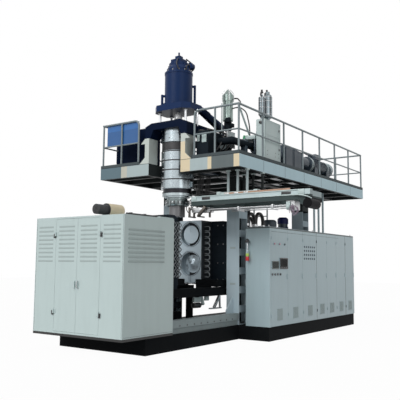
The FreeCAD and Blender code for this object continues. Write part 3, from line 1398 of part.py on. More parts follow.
def gripper(w):
    """The carriage with its two bars and the gripper head, which carries two hanging arms."""
    outer = D.carriage_y
    near_pivot = D.bar_inner
    level, half = D.bar_level, D.gripper_head
    carriage = [block((-w, w), (outer - D.carriage_length, outer), (level - half * 2, D.takeout_low - D.slide_clear))]
    for side in (-1, 1):
        carriage.append(rod(D.bar_radius, near_pivot - outer, (w / 2 * side, outer, level), "Y"))
    eye = D.arm_eye + D.rod_clear * 5
    head = (near_pivot + eye, D.far_pivot - eye)
    fork = D.arm_width / 2 + D.slide_clear
    cheek = fork + D.arm_wall
    carriage.append(block((-w, w), (head[0], head[1]), (level - half, level + half)))
    carriage.append(block((-w, -fork), (near_pivot - D.arm_eye, head[0]), (level - half, level + half)))
    carriage.append(block((fork, w), (near_pivot - D.arm_eye, head[0]), (level - half, level + half)))
    for x in ((-cheek, -fork), (fork, cheek)):
        carriage.append(block(x, (head[1], D.far_pivot + D.arm_eye), (level - half, level + half)))
    bores = [
        rod(D.arm_pivot + D.rod_clear, w * 2, (-w, at, level), "X") for at in (near_pivot, D.far_pivot)
    ]
    node(cut(fuse(carriage), bores), "takeout_carriage")
    for label, at in (("gripper_arm_near", near_pivot), ("gripper_arm_far", D.far_pivot)):
        arm = fuse([
            rod(D.arm_eye, D.arm_width, (-D.arm_width / 2, at, level), "X"),
            rod(D.arm_pivot, cheek * 2, (-cheek, at, level), "X"),
            block(
                (-D.arm_width / 2, D.arm_width / 2), (at - D.arm_wall / 2, at + D.arm_wall / 2),
                (level - D.arm_length, level),
            ),
        ])
        node(arm, label)


# ---------------------------------------------------------------- hydraulic unit
def hydraulics():
    x0, x1, near, far, top = D.tank_start, D.tank_end, D.tank_near, D.tank_far, D.tank_top
    lip = D.edge_beam / 4
    tank = fuse([
        block((x0, x1), (near, far), (D.skid_height, top)),
        block((x0 - lip, x1 + lip), (near - lip, far + lip), (top - lip, top)),
    ])
    node(tank, "oil_tank")
    motors = []
    for x, y, radius, high in (
        (D.pump_x, D.pump_y, D.pump_radius, D.pump_top),
        (D.second_pump_x, D.second_pump_y, D.second_pump_radius, D.second_pump_top),
    ):
        body = Body("pump")
        height = high - top
        crown = radius / 2
        body.revolve([
            (0, 0), (radius, 0), (radius, height - crown), (radius - crown / 2, height), (0, height),
        ])
        motors.append(place(body.body, x, y, top))
    node(group(motors), "pump_motors")
    loops = []
    radius, bend, y = D.loop_radius, D.loop_bend, D.loop_y
    rise = D.loop_top - bend - radius
    for i in range(2):
        x = D.loop_start + D.loop_pitch * i
        arch = DOC.addObject("Part::Torus", "arch")
        bind(arch, "Radius1", bend)
        bind(arch, "Radius2", radius)
        arch.Angle3 = 180
        arch.Placement = FreeCAD.Placement(Vector(), TURNS["arch"])
        place(arch, x + bend, y, rise)
        legs = [rod(radius, rise - top, (leg, y, top)) for leg in (x, x + bend * 2)]
        loops.append(fuse([arch] + legs))
    node(group(loops), "hydraulic_hoses")


# ---------------------------------------------------------------- switch cabinets
def cabinet(start, end):
    wall = D.cabinet_wall
    low, high = D.skid_height, D.skid_height + D.cabinet_height
    front = D.cabinet_front + D.cabinet_door + D.slide_clear
    shell = block((start, end), (front, D.cabinet_back), (low, high))
    inside = block((start + wall, end - wall), (front, D.cabinet_back - wall), (low + wall, high - wall))
    return cut(shell, [inside])


def cabinets():
    """Two cabinets side by side; the cable conduits rise from the far one to the platform."""
    near = cabinet(D.cabinet_start, D.cabinet_split)
    far = cabinet(D.cabinet_split, D.cabinet_end)
    stile = block(
        (D.cabinet_start, D.cabinet_start + D.door_stile - D.door_gap / 2),
        (D.cabinet_front, D.cabinet_front + D.cabinet_door + D.slide_clear),
        (D.skid_height, D.skid_height + D.cabinet_height),
    )
    node(group([fuse([near, stile] + beacon()), fuse([far] + conduits())]), "switch_cabinets")


def cabinet_doors():
    """Seven leaves on barrel hinges; the first one carries the operator's screens, lamps and buttons."""
    gap = D.door_gap
    low, high = D.skid_height + gap, D.skid_height + D.cabinet_height - gap
    index = 0
    for start, end, count in (
        (D.cabinet_start + D.door_stile, D.cabinet_split, NEAR_DOORS),
        (D.cabinet_split, D.cabinet_end, FAR_DOORS),
    ):
        width = (end - start) / count
        for i in range(count):
            index += 1
            x0, x1 = gap / 2, width - gap / 2
            body = Body("door")
            body.pad(body.sketch("XZ", [rectangle((x0, x1), (low, high))]), D.cabinet_door)
            handle = (x1 - D.handle_width * 2, x1 - D.handle_width)
            middle = (low + high) / 2
            rise = (middle - D.handle_height / 2, middle + D.handle_height / 2)
            body.pad(body.sketch("XZ", [rectangle(handle, rise)]), D.handle_reach, start=D.cabinet_door)
            levels = (low + D.knuckle_margin, high - D.knuckle_margin - D.knuckle_height)
            straps = [rectangle((x0, x0 + D.knuckle_strap), (z, z + D.knuckle_height)) for z in levels]
            body.pad(body.sketch("XZ", straps), D.knuckle_radius, start=D.cabinet_door)
            pivot = x0 + D.knuckle_radius / 2
            axis = (pivot, -D.cabinet_door - D.knuckle_radius - D.slide_clear, D.knuckle_radius)
            for z in levels:
                body.pad(body.sketch("XY", circles=[axis]), D.knuckle_height, start=z)
            if index == 1:
                near, far = D.screen_start - start, D.screen_next - start
                frames = [
                    rectangle((near, near + D.screen_width), (D.screen_low, D.screen_low + D.screen_height)),
                    rectangle((far, far + D.screen_wide), (D.screen_low, D.screen_low + D.screen_tall)),
                ]
                body.pad(body.sketch("XZ", frames), D.screen_reach, start=D.cabinet_door)
                lamps = [
                    (D.lamp_start - start + D.lamp_pitch * k, D.lamp_level, D.lamp_radius) for k in range(LAMPS)
                ]
                body.pad(body.sketch("XZ", circles=lamps), D.screen_reach, start=D.cabinet_door)
                holes = [
                    (D.button_start - start + D.button_pitch * k, D.button_level, D.button_radius + D.rod_clear)
                    for k in range(BUTTONS)
                ]
                body.pocket(body.sketch("XZ", circles=holes), D.cabinet_door, start=0, back=True)
            left = width / 2 - D.vent_width / 2
            slot = body.sketch(
                "XZ", [rectangle((left, left + D.vent_width), (low + D.vent_low, low + D.vent_low + D.vent_slot))]
            )
            feature = body.pocket(slot, D.cabinet_door, start=0, back=True)
            body.lines(feature, "Z", D.vent_pitch * (VENT_SLOTS - 1), VENT_SLOTS)
            body.done(f"cabinet_door_{index}", (start + width * i, D.cabinet_front + D.cabinet_door, 0))


def operator_controls():
    face = D.cabinet_front
    for k, label in enumerate(("start_button", "stop_button", "reset_button", "emergency_stop")):
        x = D.button_start + D.button_pitch * k
        stem = rod(D.button_radius, D.cabinet_door, (x, face, D.button_level), "Y")
        end = face - D.collar_reach
        top = rod(D.button_radius * 4 / 3, D.button_reach, (x, end - D.button_reach, D.button_level), "Y")
        neck = rod(D.button_radius, D.collar_reach, (x, end, D.button_level), "Y")
        node(fuse([stem, top, neck]), label)


def beacon():
    x, y, low, r = D.cabinet_start - D.beacon_reach, D.beacon_y, D.beacon_low, D.beacon_radius
    body = Body("beacon")
    body.revolve([
        (0, 0), (r, 0), (r, r * 8), (r / 3, r * 8), (r / 3, r * 14), (r * 1.2, r * 14), (r * 1.2, r * 16),
        (r / 2, r * 17), (0, r * 17),
    ])
    lamp = place(body.body, x, y, low)
    arm = block((x, D.cabinet_start), (y - r / 3, y + r / 3), (low + r / 2, low + r))
    return [lamp, arm]


def conduits():
    low = D.skid_height + D.cabinet_height
    high = D.deck_level - D.platform_depth
    pitch = D.conduit_radius * 10
    return [
        rod(D.conduit_radius, high - low, (D.conduit_x + pitch * k, D.conduit_y, low)) for k in range(CONDUITS)
    ]


# ---------------------------------------------------------------- assembly
skid()
bed_rails()
columns()
platform()
railings()
ladder()
upstands()
yoke()
tower()
mandrel()
head()
extruder()
feeder()
front_hopper()
accumulator_cabinet()
housing()
guides()
platen("moving_platen_left", -1)
platen("moving_platen_right", 1)
clamp_cylinder()
mould("mould_half_left", -1)
mould("mould_half_right", 1)
cooling_hoses("cooling_hoses_left", -1)
cooling_hoses("cooling_hoses_right", 1)
blow_unit()
takeout()
hydraulics()
cabinets()
cabinet_doors()
operator_controls()

DOC.recompute()
for thing in DOC.Objects:
    if any(state in ("Invalid", "Error") for state in thing.State):
        raise RuntimeError(f"{thing.Name} did not rebuild: {thing.State}")
os.makedirs("parts", exist_ok=True)
for label, thing in NODES:
    shape = thing.Shape
    if shape.isNull() or not shape.isValid():
        raise RuntimeError(f"{label} has no valid shape")
    shape.exportStep(f"parts/{label}.step")
    print(label, len(shape.Solids), round(shape.Volume / 1e9, 4), shape.BoundBox)
print(len(NODES), "pieces")
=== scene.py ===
"""Blow moulding machine: the finishes and the fine detail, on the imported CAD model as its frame.

Everything is in metres in the machine's own frame: the origin is on the floor below the axis of the
extrusion head, +X runs along the machine, +Y across it and +Z up.
"""
import json
import math

import bpy
from mathutils import Matrix, Vector

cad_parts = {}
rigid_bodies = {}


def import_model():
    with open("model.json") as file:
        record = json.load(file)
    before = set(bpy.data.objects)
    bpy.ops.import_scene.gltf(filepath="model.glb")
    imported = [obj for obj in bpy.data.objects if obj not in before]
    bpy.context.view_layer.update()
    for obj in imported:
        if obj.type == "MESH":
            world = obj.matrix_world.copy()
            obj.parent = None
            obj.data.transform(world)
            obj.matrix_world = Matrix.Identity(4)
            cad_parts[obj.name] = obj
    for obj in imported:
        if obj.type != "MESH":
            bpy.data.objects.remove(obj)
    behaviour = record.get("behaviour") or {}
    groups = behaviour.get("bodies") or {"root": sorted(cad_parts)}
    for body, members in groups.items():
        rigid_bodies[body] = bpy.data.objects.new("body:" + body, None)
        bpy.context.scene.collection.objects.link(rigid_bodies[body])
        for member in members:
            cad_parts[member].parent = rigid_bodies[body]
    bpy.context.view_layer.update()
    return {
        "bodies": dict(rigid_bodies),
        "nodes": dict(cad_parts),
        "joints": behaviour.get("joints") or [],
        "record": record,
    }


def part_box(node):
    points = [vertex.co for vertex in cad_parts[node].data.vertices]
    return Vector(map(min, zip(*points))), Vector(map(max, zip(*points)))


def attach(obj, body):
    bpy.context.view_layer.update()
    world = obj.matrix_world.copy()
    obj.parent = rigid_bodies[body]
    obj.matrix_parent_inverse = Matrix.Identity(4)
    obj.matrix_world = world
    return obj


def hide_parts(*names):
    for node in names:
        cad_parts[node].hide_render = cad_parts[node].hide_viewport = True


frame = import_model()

bl_info = {
    "name": "Blow moulding machine",
    "version": (1, 0, 0),
    "blender": (4, 5, 0),
    "location": "View3D > Sidebar > Machine",
    "description": "Builds the finishes and the detail of a blow moulding machine",
    "category": "Object",
}


# ---------------------------------------- settings
def colour(name, about, value):
    """A colour setting."""
    return bpy.props.FloatVectorProperty(
        name=name, description=about, default=value, size=3, subtype="COLOR", min=0, max=1
    )


def length(name, about, value):
    """A length setting in metres."""
    return bpy.props.FloatProperty(name=name, description=about, default=value, min=0, unit="LENGTH")


class MachineColours(bpy.types.PropertyGroup):
    """Paints of the machine."""

    pale: colour("Pale paint", "Clamp housing and feeder", (0.46, 0.555, 0.55))
    cabinet: colour("Cabinet paint", "Switch cabinets and oil tank", (0.385, 0.495, 0.53))
    grey: colour("Grey paint", "Platform, rails and take-out unit", (0.40, 0.475, 0.485))
    railing: colour("Railing paint", "Railing and ladder", (0.17, 0.21, 0.225))
    black: colour("Black paint", "Skid, sill and guide beams", (0.004, 0.005, 0.006))
    dark: colour("Dark paint", "Motors, gearbox and toe boards", (0.030, 0.050, 0.072))
    navy: colour("Navy paint", "Tower, yoke and accumulator cabinet", (0.003, 0.020, 0.080))
    sign: colour("Sign blue", "Sign plate on the platform", (0.014, 0.095, 0.28))
    motor: colour("Motor blue", "Pump motors", (0.004, 0.008, 0.085))
    cream: colour("Cream paint", "Corner plates of the platform and the head", (0.70, 0.60, 0.42))


class MachineSizes(bpy.types.PropertyGroup):
    """Sizes of the fine detail."""

    edge: length("Eased edge", "Bevel on plates and boxes", 0.003)
    louvre: length("Louvre depth", "How far a louvre blade stands out", 0.012)
    hose: length("Hose radius", "Radius of the cooling hoses", 0.011)
    cable: length("Cable radius", "Radius of the cables at the head", 0.009)


def tones():
    return bpy.context.scene.machine_colours


def sizes():
    return bpy.context.scene.machine_sizes


# ---------------------------------------- materials
class Value:
    """A value in a material: Python's operators add its Math nodes."""

    def __init__(self, shade, plug):
        self.shade, self.plug = shade, plug

    def math(self, operation, *others):
        return self.shade.add("ShaderNodeMath", {"operation": operation}, [self, *others])

    def __add__(self, other):
        return self.math("ADD", other)

    def __radd__(self, other):
        return self.math("ADD", other)

    def __sub__(self, other):
        return self.math("SUBTRACT", other)

    def __mul__(self, other):
        return self.math("MULTIPLY", other)

    def __gt__(self, other):
        return self.math("GREATER_THAN", other)

    def __lt__(self, other):
        return self.math("LESS_THAN", other)

    def either(self, other):
        return self.math("MAXIMUM", other)

    def spread(self, low, high, to_low=0.0, to_high=1.0):
        """Stretches a span of the value to another span, and clips it."""
        return self.shade.add("ShaderNodeMapRange", {}, [self, low, high, to_low, to_high])

    def part(self, name):
        """Another output of the same node."""
        return Value(self.shade, self.plug.node.outputs[name])


class Shade:
    """A material under construction."""

    def __init__(self, name):
        self.material = bpy.data.materials.new(name)
        self.material.use_nodes = True
        self.tree = self.material.node_tree
        self.tree.nodes.clear()

    def add(self, kind, settings=None, values=(), **named):
        """A node with its settings, its inputs by place or name, and its first output as a value."""
        made = self.tree.nodes.new(kind)
        for key, setting in (settings or {}).items():
            setattr(made, key, setting)
        for key, value in [*enumerate(values), *named.items()]:
            plug = made.inputs[key if isinstance(key, int) else key.replace("_", " ")]
            if isinstance(value, Value):
                self.tree.links.new(value.plug, plug)
            elif value is not None:
                plug.default_value = value
        return Value(self, made.outputs[0] if made.outputs else None)

    def point(self, stretch=(1, 1, 1)):
        """The place on the piece, in metres, stretched for grain that runs one way."""
        place = self.add("ShaderNodeTexCoord").part("Object")
        if tuple(stretch) == (1, 1, 1):
            return place
        return self.add("ShaderNodeMapping", {}, [place], Scale=stretch)

    def inside(self, spans):
        """A mask for the box between the given places, such as X=(0, 1) and Z=(2, 3)."""
        place = self.add("ShaderNodeSeparateXYZ", {}, [self.point()])
        mask = None
        for axis, (low, high) in spans.items():
            both = (place.part(axis) > low) * (place.part(axis) < high)
            mask = both if mask is None else mask * both
        return mask

    def around(self, scale):
        """A noise that changes round the Z axis and stays the same along it."""
        flat = self.add("ShaderNodeVectorMath", {"operation": "MULTIPLY"}, [self.point(), (1, 1, 0)])
        ring = self.add("ShaderNodeVectorMath", {"operation": "NORMALIZE"}, [flat])
        return self.add("ShaderNodeTexNoise", {}, [ring], Scale=scale, Detail=3.0)

    def noise(self, scale, detail=3.0, stretch=(1, 1, 1)):
        return self.add("ShaderNodeTexNoise", {}, [self.point(stretch)], Scale=scale, Detail=detail)

    def mix(self, amount, low, high):
        """A blend of two colours."""
        made = self.tree.nodes.new("ShaderNodeMix")
        made.data_type = "RGBA"
        for plug, value in ((made.inputs[0], amount), (made.inputs[6], low), (made.inputs[7], high)):
            if isinstance(value, Value):
                self.tree.links.new(value.plug, plug)
            else:
                plug.default_value = (*value, 1) if isinstance(value, (tuple, list)) else value
        return Value(self, made.outputs[2])

    def bump(self, height, distance, strength=0.5):
        return self.add("ShaderNodeBump", {}, [], Height=height, Distance=distance, Strength=strength)

    def surface(self, **sockets):
        """Closes the material with its surface shader."""
        shader = self.add("ShaderNodeBsdfPrincipled", {}, [], **sockets)
        self.add("ShaderNodeOutputMaterial", {}, [shader])
        return self.material


def shift(tone, factor):
    """A lighter or darker version of a colour."""
    return tuple(min(1.0, channel * factor) for channel in tone)


BLACK, MID_GREY = (0, 0, 0), (0.3, 0.3, 0.3)
# The first colour here is the dark of the painted reflection bands on turned steel; the second is that of its
# stains.
RING_REFLECTION_DARK, RING_SPOTS = (0.02, 0.025, 0.03), (0.05, 0.045, 0.04)
# A dark colour for lines and faces of the moulds, and for the painted shade in their grooves.
DARK_AND_PAINTED_SHADE = (0.012, 0.014, 0.017)


def zoned(shade, base, zones):
    """The base colour with parts in other colours: each zone is a colour and its span on each axis."""
    for tone, spans in zones:
        base = shade.mix(shade.inside(spans), base, tuple(tone))
    return base


def paint(name, tone, roughness=0.42, grime=0.3, coat=0.15, zones=(), bare=(), gloss=0.06):
    """Sprayed paint with orange peel, slow changes of tone and grime; bare zones are left as metal."""
    shade = Shade(name)
    clouds = shade.noise(scale=1.3, detail=4.0)
    streaks = shade.noise(scale=3.0, stretch=(3.0, 3.0, 0.35))
    peel = shade.noise(scale=260.0, detail=1.0)
    dirt = (clouds.spread(0.45, 0.75) * 0.5 + streaks.spread(0.5, 0.8) * 0.5) * grime
    base = zoned(shade, zoned(shade, tuple(tone), zones), bare)
    metallic, rough = 0.0, clouds.spread(0.2, 0.8, roughness - 0.06, roughness + 0.08)
    for _, spans in bare:
        there = shade.inside(spans)
        metallic = there + metallic
        rough = rough + there * (0.25 - roughness)
    base = shade.mix(clouds.spread(0.3, 0.7), shade.mix(0.06, base, BLACK), shade.mix(0.02, base, MID_GREY))
    base = shade.mix(dirt, base, shade.mix(0.55, base, BLACK))
    return shade.surface(
        Base_Color=base, Roughness=rough, Metallic=metallic,
        Normal=shade.bump(peel, 0.0006, 0.25), Coat_Weight=coat, Coat_Roughness=0.2,
        Specular_IOR_Level=0.5 if coat else gloss,
    )


def metal(name, tone, roughness=0.3, grain=(1, 1, 12), scratches=0.1, stain=0.2):
    """Bare metal: a grain along its tool marks, stains and a little bump."""
    shade = Shade(name)
    marks = shade.noise(scale=60.0, stretch=grain)
    stains = shade.noise(scale=3.5, detail=4.0)
    base = shade.mix(stains.spread(0.5, 0.8, 0.0, stain), tone, shift(tone, 0.45))
    base = shade.mix(marks.spread(0.4, 0.75, 0.0, 0.25), base, shift(tone, 0.8))
    rough = marks.spread(0.3, 0.7, roughness - scratches * 0.5, roughness + scratches)
    return shade.surface(
        Base_Color=base, Metallic=1.0, Roughness=rough + stains.spread(0.5, 0.9, 0.0, 0.12),
        Normal=shade.bump(marks, 0.0004, 0.3),
    )


def soft(name, tone, roughness=0.6, scale=180.0):
    """Rubber and plastic: a fine moulded texture and a dusty bloom."""
    shade = Shade(name)
    dust = shade.noise(scale=6.0, detail=4.0)
    skin = shade.noise(scale, detail=2.0)
    base = shade.mix(dust.spread(0.45, 0.8, 0.0, 0.35), tone, tuple(c * 0.7 + 0.06 for c in tone))
    return shade.surface(
        Base_Color=base, Roughness=dust.spread(0.3, 0.7, roughness - 0.1, roughness + 0.1),
        Normal=shade.bump(skin, 0.0004, 0.4),
    )


def turned_metal(name, tone, roughness=0.25, zones=()):
    """Turned steel: rings of tool marks, and painted reflection bands round the axis of the head, dark
    streaks that run along it.
    """
    shade = Shade(name)
    marks = shade.noise(scale=40.0, stretch=(1, 1, 9))
    reflection_bands = shade.around(scale=1.7)
    spots = shade.noise(scale=5.0, detail=4.0)
    base = zoned(shade, tone, zones)
    # Painted reflection: dark bands that change round the axis stand in for the surroundings mirrored in the
    # steel.
    base = shade.mix(reflection_bands.spread(0.45, 0.6, 0.0, 0.7), base, shade.mix(0.6, base, RING_REFLECTION_DARK))
    base = shade.mix(spots.spread(0.55, 0.8, 0.0, 0.2), base, shade.mix(0.6, base, RING_SPOTS))
    return shade.surface(
        Base_Color=base, Metallic=1.0, Roughness=marks.spread(0.3, 0.7, roughness - 0.06, roughness + 0.1),
        Normal=shade.bump(marks, 0.0005, 0.3),
    )


def cavity_metal(name, tone, levels, radius, core, face):
    """Machined aluminium: painted shade in the grooves round the islands of the cavities, strongest where Y
    is below 0.09, thin dark rings round the cavities, near-black faces beyond the rim, and a rough lower
    island.

    The levels are the heights of the cavities, radius and core those of groove and island, and face the
    distance of the parting face from the middle plane.
    """
    shade = Shade(name)
    place = shade.add("ShaderNodeSeparateXYZ", {}, [shade.point()])
    x, y, z = (place.part(axis) for axis in "XYZ")
    deep = (x * x) > (face + 0.008) ** 2
    marks = shade.noise(scale=60.0, stretch=(6, 1, 1))
    cast = shade.noise(scale=11.0, detail=5.0)
    base = shade.mix(marks.spread(0.35, 0.75, 0.0, 0.3), tone, shift(tone, 0.72))
    for number, level in enumerate(levels):
        reach = y * y + (z - level) * (z - level)
        if number:
            rough = (reach < core * core) * cast.spread(0.5, 0.62, 0.0, 0.75)
            base = shade.mix(rough, base, shift(tone, 0.25))
        # Painted shade: the groove's walls and floor go dark, fully on the side below Y 0.09 and a quarter of
        # the way elsewhere.
        groove = (reach > (core - 0.004) ** 2) * (reach < (radius + 0.003) ** 2) * deep
        line = (reach > (radius + 0.010) ** 2) * (reach < (radius + 0.018) ** 2)
        dark = groove * (0.25 + (y < 0.09) * 0.75)
        base = shade.mix(dark.either(line * 0.6), base, DARK_AND_PAINTED_SHADE)
    base = shade.mix((y * y > MOULD_RIM ** 2) * 0.93, base, DARK_AND_PAINTED_SHADE)
    return shade.surface(
        Base_Color=base, Metallic=0.55, Roughness=marks.spread(0.3, 0.7, 0.34, 0.5),
        Normal=shade.bump(cast, 0.002, 0.3),
    )


# Places in metres that a change of colour follows.
FRONT = (-0.46, -0.4525)
PLATFORM_SKIN = (1.799, 1.81)
COLUMN_ROWS, COLUMN_BAY, COLUMN_LENGTH = (0.838, 3.91), (0.725, 1.002), 0.30
COLUMN_TONE, HEAD_TONE, HEAD_BAND_TONE = (0.49, 0.60, 0.655), (0.44, 0.50, 0.52), (0.035, 0.035, 0.04)
MOULD_LEVELS, MOULD_FACE, MOULD_RIM = (2.155, 1.53), 0.48, 0.288
CAVITY_RADIUS, CAVITY_CORE = 0.25, 0.195
SHADE_GREY, NEAR_BLACK = (0.02, 0.026, 0.03), (0.003, 0.003, 0.004)

FINISH = {}


def mirrored(span):
    """A span's mirror image on the near side of the middle plane, and the span itself."""
    low, high = span
    return ((-high, -low), span)


def cabinet_zones(tone):
    """The dark joints between the cabinets and under their roofs, and a darker band along the roofs' edges.
    """
    return [
        (shift(tone, 0.12), {"X": (3.036, 3.050)}), (shift(tone, 0.2), {"X": (4.789, 4.809)}),
        (shift(tone, 0.4), {"X": (0.86, 3.03), "Z": (2.194, 2.204)}),
        (shift(tone, 0.5), {"X": (3.05, 4.36), "Z": (2.194, 2.204)}),
        (shift(tone, 0.22), {"Z": (2.262, 2.29)}),
    ]


def column_zones(head_shade):
    """Painted shade on the insides of the columns and on their heads under the platform."""
    # Painted shade: the bays and a strip inside the columns in near-black grey, and the columns above Z 2.86
    # in a dark grey.
    bays = [(SHADE_GREY, {"X": (x, x + COLUMN_LENGTH), "Y": span})
            for x in COLUMN_ROWS for span in mirrored(COLUMN_BAY)]
    return [*bays, (SHADE_GREY, {"X": (0.838, 4.21), "Y": (0.70, 0.728)}), (head_shade, {"Z": (2.86, 3.40)})]


def platform_zones(grey, cream):
    """Painted shade on the inside of the platform, its cream corner plates and the grey and light plates
    between.
    """
    (near, _), (low, high) = mirrored(PLATFORM_SKIN)
    return [
        # Painted shade: everything inside the side skins goes near black.
        (shift(grey, 0.06), {"X": (-0.452, 6.069), "Y": (-low, low)}),
        (cream, {"X": FRONT, "Y": (-0.653, -0.415)}), (cream, {"X": FRONT, "Y": (-1.165, -1.075)}),
        (cream, {"X": FRONT, "Y": (near, -1.672)}), (shift(grey, 0.34), {"X": FRONT, "Y": (-1.672, -1.165)}),
        ((0.13, 0.19, 0.22), {"X": FRONT, "Y": (1.19, high)}),
        ((0.52, 0.51, 0.44), {"X": FRONT, "Y": (1.02, 1.19)}),
        ((0.50, 0.66, 0.72), {"Y": (near, -low)}),
    ]


def slide_zones(grey):
    """Painted light on the near face, painted shade on the web below the flange and on the far row of hanger
    rods, and the black end of the take-out unit.
    """
    return [
        # Painted light and shade: a lighter near face, a near-black web below Z 2.782 and near-black hanger
        # rods in the far row.
        (shift(grey, 1.3), {"X": (-0.17, -0.1595)}), ((0.055, 0.075, 0.075), {"Z": (2.60, 2.782)}),
        (shift(grey, 0.06), {"X": (0.40, 0.60), "Z": (2.885, 3.36)}),
        (NEAR_BLACK, {"Y": (-3.4, -2.998), "Z": (2.4, 2.75)}),
    ]


def mix_paints():
    """Every finish of the machine, made once."""
    t = tones()
    cream = tuple(t.cream)
    FINISH.update({
        "pale": paint("pale_paint", t.pale, 0.40, 0.20),
        "grey": paint("grey_paint", t.grey, 0.45, 0.28),
        "cabinet": paint("cabinet_paint", t.cabinet, 0.42, 0.2, zones=cabinet_zones(t.cabinet)),
        "bed": paint("bed_paint", shift(t.grey, 0.74), 0.5, 0.4, 0.0),
        "column": paint("column_paint", COLUMN_TONE, 0.5, 0.25, 0.0, zones=column_zones(shift(t.grey, 0.10))),
        "railing": paint("railing_paint", t.railing, 0.45, 0.25),
        "black": paint("black_paint", t.black, 0.6, 0.12, 0.0, gloss=0.03),
        "dark": paint("dark_paint", t.dark, 0.45, 0.30),
        "navy": paint("navy_paint", t.navy, 0.33, 0.12, 0.0, gloss=0.12),
        "navy_dark": paint("navy_dark_paint", shift(t.navy, 0.3), 0.4, 0.12, 0.0, gloss=0.02),
        # Painted shade: the vent bars are a darker copy of the pale paint, standing in for shade in the
        # vents.
        "grille": paint("grille_painted_shade", shift(t.pale, 0.66), 0.45, 0.2),
        # Painted shade: the louvre blades are a darker copy of the pale paint, so that they read as shaded
        # stripes.
        "louvre": paint("louvre_painted_shade", shift(t.pale, 0.70), 0.45, 0.2),
        "motor_blue": paint("motor_blue_paint", t.motor, 0.4, 0.2, 0.0, gloss=0.2),
        "sign": paint("sign_paint", t.sign, 0.30, 0.15, zones=[(shift(t.sign, 1.35), {"Z": (4.415, 4.60)})]),
        "tower": paint("tower_paint", t.navy, 0.33, 0.12, 0.0, gloss=0.12, bare=[
            ((0.62, 0.63, 0.65), {"X": (-0.26, 0.26), "Z": (4.4555, 4.7195)})]),
        "platform": paint("platform_paint", t.grey, 0.5, 0.2, 0.0, zones=platform_zones(t.grey, cream)),
        "upstand": paint("upstand_paint", (0.50, 0.55, 0.52), 0.45, 0.2, zones=[
            (cream, {"X": FRONT, "Y": (-1.0, 0.0), "Z": (3.3, 3.97)})]),
        "housing": paint("housing_paint", t.pale, 0.40, 0.20, zones=[(BLACK, {"Z": (0.0, 0.324)})]),
        "deck": paint("deck_paint", shift(t.railing, 0.42), 0.5, 0.3, 0.0, zones=[
            (shift(t.dark, 0.25), {"Z": (3.59, 3.6065)})]),
        "slide": paint("slide_paint", t.grey, 0.5, 0.25, 0.0, zones=slide_zones(t.grey)),
        "platen": paint("platen_paint", shift(t.dark, 0.25), 0.6, 0.2, 0.0),
        "steel": metal("machined_steel", (0.56, 0.57, 0.58), 0.32, (1, 1, 14)),
        "dark_steel": metal("dark_steel", (0.16, 0.16, 0.165), 0.42, (1, 1, 8), stain=0.4),
        "bright": metal("bright_steel", (0.60, 0.61, 0.63), 0.18, (1, 1, 18), 0.06, 0.3),
        "band": turned_metal("band_steel", (0.44, 0.50, 0.53), 0.22),
        "die": turned_metal("die_steel", (0.24, 0.28, 0.285), 0.26),
        "head": turned_metal("head_steel", HEAD_TONE, 0.26, [(HEAD_BAND_TONE, {"Z": (2.975, 4.018)})]),
        "hopper": metal("hopper_steel", (0.25, 0.31, 0.29), 0.28, (1, 1, 10), 0.1, 0.4),
        "loader": metal("loader_steel", (0.22, 0.26, 0.28), 0.2, (14, 14, 1), 0.1, 0.6),
        "arm": metal("arm_bronze", (0.12, 0.11, 0.10), 0.45, (1, 1, 8), 0.1, 0.5),
        "hose_grey": soft("hose_grey", (0.16, 0.18, 0.19), 0.35),
        "mould": cavity_metal(
            "mould_aluminium", (0.42, 0.50, 0.55), MOULD_LEVELS, CAVITY_RADIUS, CAVITY_CORE, MOULD_FACE),
        "orange": paint("cable_chain_orange", (0.52, 0.33, 0.24), 0.55, 0.35, 0.0),
        "cream": paint("cream_paint", cream, 0.45, 0.2),
        "fan": paint("fan_paint", cream, 0.45, 0.2, zones=[((0.02, 0.022, 0.025), {"X": (-2.7, -2.165)})]),
        "rubber": soft("hose_rubber", (0.016, 0.016, 0.017), 0.5),
        "purple": soft("hose_grey_purple", (0.22, 0.17, 0.22), 0.45),
        "black_plastic": soft("black_plastic", (0.02, 0.02, 0.022), 0.35),
        "screen": soft("screen_grey", (0.10, 0.13, 0.12), 0.25, 40.0),
        "red": soft("red_plastic", (0.60, 0.02, 0.03), 0.28),
        "green": soft("green_plastic", (0.02, 0.30, 0.12), 0.28),
        "lime": soft("lime_plastic", (0.45, 0.62, 0.12), 0.28),
        "pink": soft("pink_lens", (0.50, 0.24, 0.30), 0.28),
    })


# Each finish with the CAD nodes that carry it.
FINISH_NODES = {
    "arm": "gripper_arm_near gripper_arm_far",
    "band": "heater_bands",
    "bed": "bed_rails",
    "black": "base_skid guide_beams blow_stand",
    "black_plastic": "emergency_stop",
    "bright": "blow_pin",
    "cabinet": "oil_tank switch_cabinets " + " ".join(f"cabinet_door_{i}" for i in range(1, 8)),
    "column": "platform_columns",
    "dark": "extruder_barrel gearbox extruder_motor clamp_cylinder pump_motors",
    "dark_steel": "die_ring start_button stop_button reset_button",
    "deck": "deck_plate",
    "die": "die_holder",
    "fan": "housing_motor",
    "head": "accumulator_barrel",
    "hopper": "front_hopper",
    "housing": "clamp_housing",
    "loader": "vacuum_loaders",
    "mould": "mould_half_left mould_half_right",
    "navy": "injection_cylinder cylinder_cap",
    "navy_dark": "head_yoke accumulator_cabinet",
    "pale": "material_feeder housing_door_near housing_door_far",
    "platen": "melt_pipe moving_platen_left moving_platen_right",
    "platform": "platform_frame",
    "railing": "platform_railing access_ladder",
    "rubber": "cooling_hoses_left cooling_hoses_right hydraulic_hoses",
    "sign": "sign_plate",
    "slide": "takeout_frame",
    "steel": "mandrel_rod drive_coupling takeout_carriage",
    "tower": "tower_frame",
    "upstand": "head_upstands",
}


